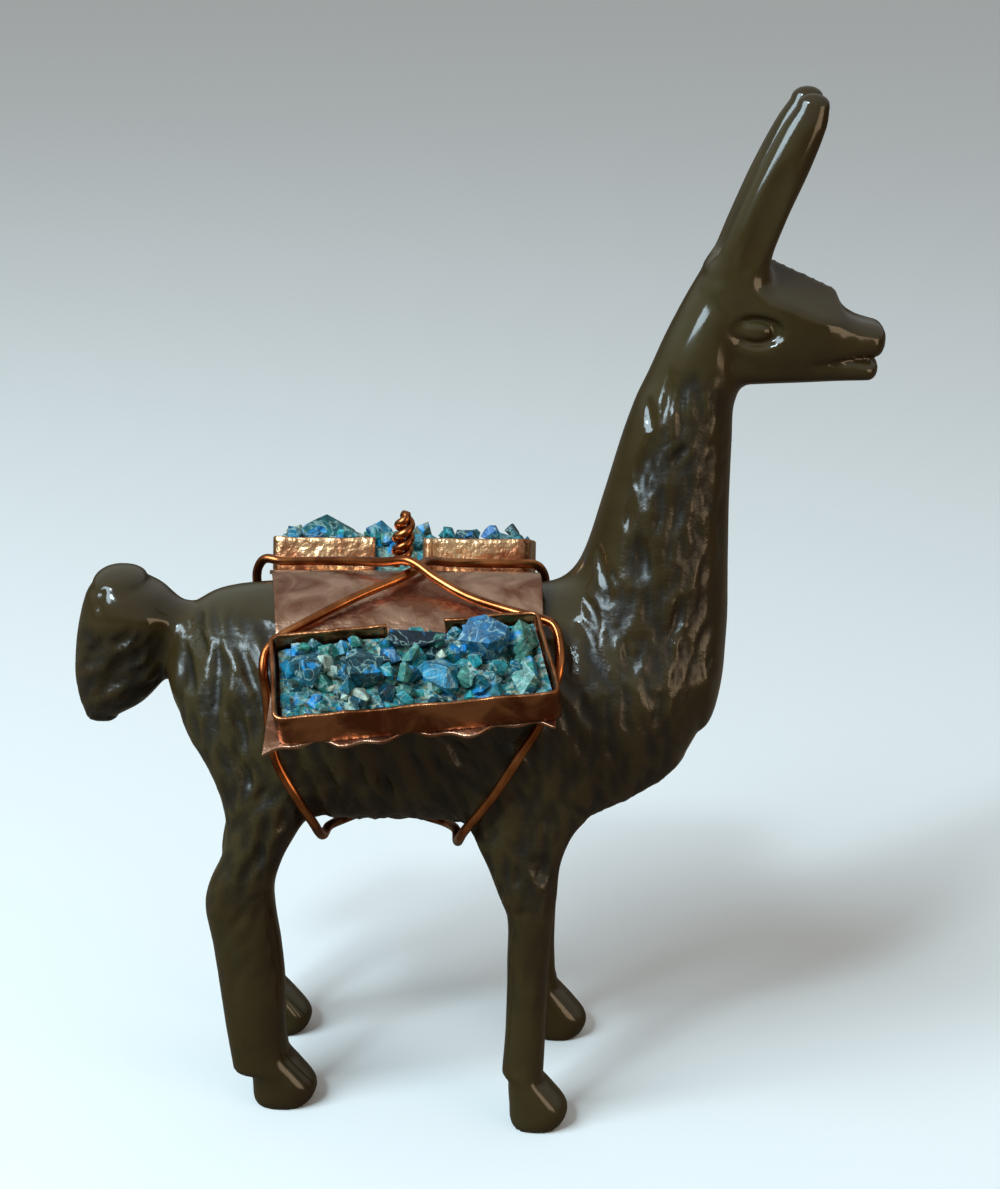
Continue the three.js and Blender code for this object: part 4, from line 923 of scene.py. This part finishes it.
def bed(shape, tint_layer, tray, roll):
    """The grit between the chips, as a closed lumpy slab."""
    across, along, margin = 26, 60, 0.35
    length, side = tray["length"], tray["side"]
    v = np.linspace(margin, TRAY_WIDTH - margin, across + 1)[:, None]
    back = mix(*[tray[key][0] for key in ("inner_flare", "outer_flare")], v / TRAY_WIDTH)
    front = mix(*[tray[key][1] for key in ("inner_flare", "outer_flare")], v / TRAY_WIDTH)
    u = mix(margin - back, length + front - margin, np.linspace(0, 1, along + 1)[None, :])
    v = v + 0 * u
    flat = np.stack([u, v, 0 * u], -1).reshape(-1, 3)
    height = 2.9 + 0.5 * rough(flat, 2.3, 41) + 0.35 * rough(flat, 0.9, 42)
    tops = [shape.verts.new(p) for p in np.column_stack([flat[:, :2], height])]
    floors = [shape.verts.new((p[0], p[1], 0.12)) for p in flat]
    n = along + 1
    quads = []
    for i in range(across):
        for j in range(along):
            a, b, c, d = i * n + j, i * n + j + 1, (i + 1) * n + j + 1, (i + 1) * n + j
            quads += [[tops[q] for q in (a, b, c, d)], [floors[q] for q in (d, c, b, a)]]
    rim = [(0, j) for j in range(along)] + [(i, along) for i in range(across)]
    rim += [(across, j) for j in range(along, 0, -1)] + [(i, 0) for i in range(across, 0, -1)]
    for (i, j), (k, m) in zip(rim, rim[1:] + rim[:1]):
        p, q = i * n + j, k * n + m
        quads.append([tops[q], tops[p], floors[p], floors[q]])
    for quad in quads:
        face = shape.faces.new(quad)
        tint = Vector(linear(roll.choice(TEALS + GREENS + PALES + ["#4a5a4a"])))
        for corner in face.loops:
            corner[tint_layer] = (*tint[:3], 1)


def heap(name, tray, large, seed, small_tints):
    roll = random.Random(seed)
    shape = bmesh.new()
    tint_layer = shape.loops.layers.float_color.new("tint")
    bed(shape, tint_layer, tray, roll)
    for centre, half, tints in large:
        chip(shape, tint_layer, centre, half, tints, roll, 0.3)
    for layer, gap in ((0, 2.6), (1, 3.1)):
        u = 1.4 + 0.7 * layer
        while u < tray["length"] - 0.6:
            v = 1.2 + 0.6 * layer
            while v < TRAY_WIDTH - 0.7:
                size = roll.uniform(0.75, 1.45)
                rise = 2.6 + 1.1 * layer + 1.1 * math.sin(math.pi * v / TRAY_WIDTH) + roll.uniform(-0.4, 0.5)
                centre = (u + roll.uniform(-0.8, 0.8), v + roll.uniform(-0.7, 0.7), rise)
                half = (size * roll.uniform(0.8, 1.35), size * roll.uniform(0.8, 1.2), size * roll.uniform(0.6, 1))
                chip(shape, tint_layer, centre, half, small_tints, roll, 0.9)
                v += gap
            u += gap
    limits = (0.3, TRAY_WIDTH - 0.3)
    for vert in shape.verts:
        u, v, w = vert.co
        part = min(max(v / TRAY_WIDTH, 0), 1)
        back = -mix(tray["inner_flare"][0], tray["outer_flare"][0], part) + 0.3
        front = tray["length"] + mix(tray["inner_flare"][1], tray["outer_flare"][1], part) - 0.3
        held = (min(max(u, back), front), min(max(v, limits[0]), limits[1]), max(w, 0.12))
        vert.co = Vector(in_frame(from_tray(tray, [held])[0]))
    bmesh.ops.recalc_face_normals(shape, faces=shape.faces)
    mesh = bpy.data.meshes.new(name)
    shape.to_mesh(mesh)
    shape.free()
    mesh.shade_flat()
    piece = bpy.data.objects.new(name, mesh)
    bpy.context.scene.collection.objects.link(piece)
    print(name, "has", len(mesh.polygons), "faces")
    return piece


# %% [markdown]
# The mineral is opaque and only a little glossy where it broke. Within a chip the colour still varies:
# thin pale veins, brighter blue spots, and brown specks of the rock that it grew in.

# %% Blue-green mineral, broken
chip_finish, tree, shader = new_material("blue_green_mineral_broken")
place = node(tree, "ShaderNodeTexCoord").outputs["Object"]
tint = node(tree, "ShaderNodeAttribute", attribute_name="tint").outputs["Color"]
mottle = node(tree, "ShaderNodeTexNoise", {"Vector": place, "Scale": 700, "Detail": 6, "Roughness": 0.65})
mottle_ramp = node(tree, "ShaderNodeValToRGB", {"Fac": mottle.outputs["Fac"]})
mottle_ramp.color_ramp.elements[0].position, mottle_ramp.color_ramp.elements[0].color = 0.36, (0.3, 0.3, 0.3, 1)
mottle_ramp.color_ramp.elements[1].position, mottle_ramp.color_ramp.elements[1].color = 0.66, (1.5, 1.5, 1.5, 1)
shaded = node(tree, "ShaderNodeMix", {"Factor": 1, "A": tint, "B": mottle_ramp.outputs["Color"]},
              data_type="RGBA", blend_type="MULTIPLY")
spot_noise = node(tree, "ShaderNodeTexNoise", {"Vector": place, "Scale": 420, "Detail": 2})
spot_mask = node(tree, "ShaderNodeMapRange", {"Value": spot_noise.outputs["Fac"], "From Min": 0.6, "From Max": 0.68})
blued = node(tree, "ShaderNodeMix", {
    "Factor": spot_mask.outputs["Result"], "A": shaded.outputs["Result"], "B": linear("#1f8fd0"),
}, data_type="RGBA")
vein_noise = node(tree, "ShaderNodeTexNoise", {"Vector": place, "Scale": 330, "Detail": 4, "Distortion": 1.5})
vein = node(tree, "ShaderNodeMath", {0: vein_noise.outputs["Fac"], 1: 0.5}, operation="SUBTRACT")
vein_size = node(tree, "ShaderNodeMath", {0: vein.outputs["Value"]}, operation="ABSOLUTE")
vein_mask = node(tree, "ShaderNodeMapRange", {
    "Value": vein_size.outputs["Value"], "From Min": 0.006, "From Max": 0.03, "To Min": 0.55, "To Max": 0,
})
veined = node(tree, "ShaderNodeMix", {
    "Factor": vein_mask.outputs["Result"], "A": blued.outputs["Result"], "B": linear("#a9c7bd"),
}, data_type="RGBA")
grit = node(tree, "ShaderNodeTexNoise", {"Vector": place, "Scale": 2400, "Detail": 4})
bump = node(tree, "ShaderNodeBump", {"Height": grit.outputs["Fac"], "Strength": 0.7, "Distance": 0.00015})
tree.links.new(veined.outputs["Result"], shader.inputs["Base Color"])
tree.links.new(bump.outputs["Normal"], shader.inputs["Normal"])
shader.inputs["Roughness"].default_value = 0.42
shader.inputs["IOR"].default_value = 1.55

SMALL = TEALS * 2 + BLUES + GREENS + PALES
stands_for(heap("near_heap", NEAR, NEAR_LARGE, 17, SMALL), "near_chips", chip_finish)
stands_for(heap("far_heap", FAR_SIDE, FAR_LARGE, 29, SMALL), "far_chips", chip_finish)

# %% [markdown]
# The binding wire is bare copper wire, 1.15 mm thick, pulled tight by hand round the body in two loops
# that cross on the back and again under the belly. A point of it is over the saddle, beside a flank or
# under the belly, always half a wire off what carries it.

# %% The wires' routes
WIRE_OFF = WIRE / 2 + CLEARANCE + 0.3
CROSSING = WIRE + CLEARANCE + 0.1


def over(x, y, lift=0.0):
    return (x, y, saddle(x, y)[0] + SHEET / 2 + WIRE_OFF + lift)


def halved(low, high, is_low):
    for _ in range(16):
        middle = (low + high) / 2
        low, high = (middle, high) if is_low(middle) else (low, middle)
    return low


def depth_at(x, y, z):
    return blank(*(np.array([float(v)]) for v in (x, y, z)))[0]


def beside(x, z, side):
    return (x, side * halved(2, 22, lambda y: depth_at(x, side * y, z) < WIRE_OFF), z)


def under(x, y, drop=0.0):
    return (x, y, halved(25, 50, lambda z: depth_at(x, y, z) >= WIRE_OFF) - drop)


FIRST_LOOP = [
    over(-10.7, -2.5), over(-17.2, -7.3), over(-22.6, -10.2), over(-24.8, -11.2, 0.1),
    (-26.4, -12.4, 59.4), (-26.6, -13.6, 57.4), beside(-26.2, 55.2, -1), beside(-25.9, 52.1, -1),
    beside(-25.1, 47.2, -1), beside(-22.7, 42.3, -1), beside(-21.1, 38.4, -1), (-20.4, -8, 34.9),
    under(-20, -4), under(-18.3, 0), under(-11.7, 5.5), under(-6.4, 9.6), beside(-3.4, 38.4, 1),
    beside(-0.4, 43, 1), beside(2, 48.8, 1), beside(3.6, 54, 1), (4.9, 13.6, 58.9), (5.1, 12.8, 61.6),
    (4.1, 11.8, 63.5), over(0.8, 10.7), over(-2.9, 10.2), over(-6.6, 7.4), over(-9, 2.4),
]
SECOND_LOOP = [
    over(-10.7, -2.5, CROSSING), over(-7.4, -4.4, 0.5), over(-3.4, -6.8), over(1.6, -8.8), over(4.8, -10),
    (6.6, -10.8, 63.2), (7.4, -12.2, 61.2), (7.4, -13.8, 58.6), beside(6.7, 56, -1), beside(5.4, 52.6, -1),
    beside(3.2, 48.8, -1), beside(-0.1, 43.1, -1), beside(-3.1, 38.4, -1), (-4.2, -8, 34.7),
    under(-4.6, -4), under(-6, 0, 0.4), under(-11.7, 5.5, CROSSING), under(-17.2, 9.6),
    beside(-20.4, 38.4, 1), beside(-24, 43, 1), beside(-27, 48.8, 1), beside(-29.2, 54, 1),
    (-30.7, 12.3, 59.4), (-30.7, 12, 61.8), (-29.7, 11.4, 63.4), over(-27.4, 10.3), over(-22.6, 6.4),
    over(-18.2, 2.8), over(-13.8, -0.6, 0.6),
]

# %% [markdown]
# A curve through those points gives the wire's line. Blender's curve object can carry a round bevel, so
# the wire is a smooth round rod all the way with no faces to place. It is then kept as a mesh.

# %% Draw a wire as a curve with a round bevel


def smooth_ring(points, steps=12, closed=True):
    """Points on a curve that passes through the given ones, with centripetal spacing."""
    p = np.array(points, float)
    n = len(p)
    spans = range(n if closed else n - 1)
    line = []
    for i in spans:
        q = [p[(i + k) % n] if closed else p[min(max(i + k, 0), n - 1)] for k in (-1, 0, 1, 2)]
        gaps = [max(np.linalg.norm(b - a), 1e-4) ** 0.5 for a, b in zip(q, q[1:])]
        m1 = (q[1] - q[0]) / gaps[0] - (q[2] - q[0]) / (gaps[0] + gaps[1]) + (q[2] - q[1]) / gaps[1]
        m2 = (q[2] - q[1]) / gaps[1] - (q[3] - q[1]) / (gaps[1] + gaps[2]) + (q[3] - q[2]) / gaps[2]
        m1, m2 = m1 * gaps[1], m2 * gaps[1]
        for t in np.arange(steps) / steps:
            line.append(
                (2 * t**3 - 3 * t**2 + 1) * q[1] + (t**3 - 2 * t**2 + t) * m1
                + (3 * t**2 - 2 * t**3) * q[2] + (t**3 - t**2) * m2
            )
    if not closed:
        line.append(p[-1])
    return np.array(line)


def wire(name, line, closed, diameter=WIRE):
    curve = bpy.data.curves.new(name, "CURVE")
    curve.dimensions = "3D"
    curve.bevel_depth, curve.bevel_resolution = diameter / 2 * MM, 5
    curve.use_fill_caps = not closed
    spline = curve.splines.new("POLY")
    spline.points.add(len(line) - 1)
    for point, place_ in zip(spline.points, in_frame(line)):
        point.co = (*place_, 1)
    spline.use_cyclic_u = closed
    rod = bpy.data.objects.new(name + "_line", curve)
    mesh = bpy.data.meshes.new_from_object(rod)
    bpy.data.objects.remove(rod)
    mesh.shade_smooth()
    piece = bpy.data.objects.new(name, mesh)
    bpy.context.scene.collection.objects.link(piece)
    print(name, "is", round(float(np.linalg.norm(np.diff(line, axis=0), axis=1).sum())), "mm long")
    return piece


# %% [markdown]
# The wire came off a drawing die, which leaves it smooth and brighter than the sheet, with faint lines
# along it. Skin and air have turned it orange brown.

# %% Copper wire, drawn
wire_finish, tree, shader = new_material("copper_wire_drawn")
place = node(tree, "ShaderNodeTexCoord").outputs["Object"]
tarnish = node(tree, "ShaderNodeTexNoise", {"Vector": place, "Scale": 240, "Detail": 4})
ramp = node(tree, "ShaderNodeValToRGB", {"Fac": tarnish.outputs["Fac"]})
ramp.color_ramp.elements[0].position, ramp.color_ramp.elements[0].color = 0.38, linear("#8a4a26")
ramp.color_ramp.elements[1].position, ramp.color_ramp.elements[1].color = 0.64, linear("#d2854f")
tree.links.new(ramp.outputs["Color"], shader.inputs["Base Color"])
shader.inputs["Metallic"].default_value = 1
shader.inputs["Roughness"].default_value = 0.24

first_loop = wire("wire_loop_1", smooth_ring(FIRST_LOOP), True)
second_loop = wire("wire_loop_2", smooth_ring(SECOND_LOOP), True)
stands_for(first_loop, "binding_wire_1", wire_finish)
stands_for(second_loop, "binding_wire_2", wire_finish)

# %% [markdown]
# The two ends of the wire were twisted together with pliers and stand up where the loops cross. One line
# goes up as a helix, over the top in a small bend, and down as the other helix.

# %% The twisted ends
TWIST = dict(x=-12, y=1.8, height=7.2, turns=1.9)


def twist_line(samples=46):
    base = saddle(TWIST["x"], TWIST["y"])[0] + SHEET / 2 + CLEARANCE + 0.1
    strand = WIRE * 0.47
    up, down = [], []
    for t in np.linspace(0, 1, samples):
        fat = 0.62 * WIRE * (0.75 + 0.45 * math.sin(math.pi * t))
        far = fat * (1 if t < 0.88 else mix(1, 0.3, (t - 0.88) / 0.12))
        angle = 2 * math.pi * TWIST["turns"] * t
        z = base + strand + (TWIST["height"] - 2 * strand) * t
        for line, half_turn in ((up, 0), (down, math.pi)):
            line.append((TWIST["x"] + 0.5 * t + far * math.cos(angle + half_turn),
                         TWIST["y"] + far * math.sin(angle + half_turn), z))
    return up + down[::-1]


twist = wire("twisted_ends", np.array(twist_line()), False, WIRE * 0.94)
stands_for(twist, "wire_twist", wire_finish)

# %% [markdown]
# The figure stands on a plain pale floor under soft studio light: a large cool light high on the left, a
# weaker warm one on the right, and an even pale surround.

# %% Floor and surround
PALE = "#ffffff"


def seen_and_reflected(tree, seen, reflected):
    """The camera sees one shader, and the object's reflections and shadows get the other."""
    ray = node(tree, "ShaderNodeLightPath").outputs["Is Camera Ray"]
    return node(tree, "ShaderNodeMixShader", {"Fac": ray, 1: reflected, 2: seen}).outputs["Shader"]


floor_mesh = bpy.data.meshes.new("floor")
shape = bmesh.new()
bmesh.ops.create_grid(shape, x_segments=1, y_segments=1, size=4)
shape.to_mesh(floor_mesh)
shape.free()
floor = bpy.data.objects.new("floor", floor_mesh)
bpy.context.scene.collection.objects.link(floor)
floor_finish, tree, shader = new_material("pale_paper")
shader.inputs["Base Color"].default_value = linear("#fbfaf8")
shader.inputs["Roughness"].default_value = 0.95
dim = node(tree, "ShaderNodeBsdfDiffuse", {"Color": linear("#6b5f52")})
shown = seen_and_reflected(tree, shader.outputs["BSDF"], dim.outputs["BSDF"])
tree.links.new(shown, tree.nodes["Material Output"].inputs["Surface"])
floor_mesh.materials.append(floor_finish)

world = bpy.data.worlds.new("surround")
bpy.context.scene.world = world
world.use_nodes = True
tree = world.node_tree
way = node(tree, "ShaderNodeTexCoord").outputs["Generated"]
rise = node(tree, "ShaderNodeSeparateXYZ", {"Vector": way}).outputs["Z"]
sky = node(tree, "ShaderNodeValToRGB", {"Fac": rise})
sky.color_ramp.elements[0].position, sky.color_ramp.elements[0].color = 0.0, linear("#4a463f")
sky.color_ramp.elements[1].position, sky.color_ramp.elements[1].color = 0.75, linear("#a3a8ab")
sky.color_ramp.elements.new(0.25).color = linear("#9a9c96")
room = node(tree, "ShaderNodeBackground", {"Color": sky.outputs["Color"]})
seen = node(tree, "ShaderNodeBackground", {"Color": linear(PALE)})
shown = seen_and_reflected(tree, seen.outputs["Background"], room.outputs["Background"])
tree.links.new(shown, tree.nodes["World Output"].inputs["Surface"])
bpy.context.scene.view_settings.view_transform = "Standard"

# %% Lights


def softbox(name, place_, aim, power, size, colour):
    light = bpy.data.lights.new(name, "AREA")
    light.shape, light.size, light.energy, light.color = "SQUARE", size, power, linear(colour)[:3]
    lamp = bpy.data.objects.new(name, light)
    lamp.location = place_
    lamp.rotation_euler = (Vector(aim) - Vector(place_)).to_track_quat("-Z", "Y").to_euler()
    bpy.context.scene.collection.objects.link(lamp)


softbox("window", (-0.45, -0.35, 0.5), (0, 0, 0.06), 6, 0.4, "#cfe8f5")
softbox("glint", (-0.3, -0.5, 0.6), (0, 0, 0.06), 1.6, 0.09, "#d8f4ff")
softbox("warm_fill", (0.5, -0.35, 0.12), (0, 0, 0.05), 0.8, 0.3, "#ffdcb4")

# %% [markdown]
# The camera stands where the photograph was taken: a hand's length or two away, a little above the
# figure, nearly square to its right side.

# %% Camera
DISTANCE, AZIMUTH, ELEVATION, ROLL = 290, 2, 17.4, 1.2
PIXELS_PER_MM_AT_TARGET = 8.38
IMAGE_HEIGHT = 1189
a, e, r = (math.radians(v) for v in (AZIMUTH, ELEVATION, ROLL))
back = Vector((math.sin(a) * math.cos(e), -math.cos(a) * math.cos(e), math.sin(e)))
right = Vector((math.cos(a), math.sin(a), 0))
up = back.cross(right)
turned_right = right * math.cos(r) + up * math.sin(r)
turned_up = up * math.cos(r) - right * math.sin(r)
camera_data = bpy.data.cameras.new("camera")
camera_data.sensor_width = 36
camera_data.lens = PIXELS_PER_MM_AT_TARGET * DISTANCE / IMAGE_HEIGHT * camera_data.sensor_width
camera_data.clip_start = 0.01
camera = bpy.data.objects.new("camera", camera_data)
target = Vector(in_frame((0, 0, 63.3)))
pose = Matrix((turned_right, turned_up, back)).transposed().to_4x4()
pose.translation = target + back * DISTANCE * MM
camera.matrix_world = pose
bpy.context.scene.collection.objects.link(camera)
bpy.context.scene.camera = camera
print("lens", round(camera_data.lens, 1), "mm")
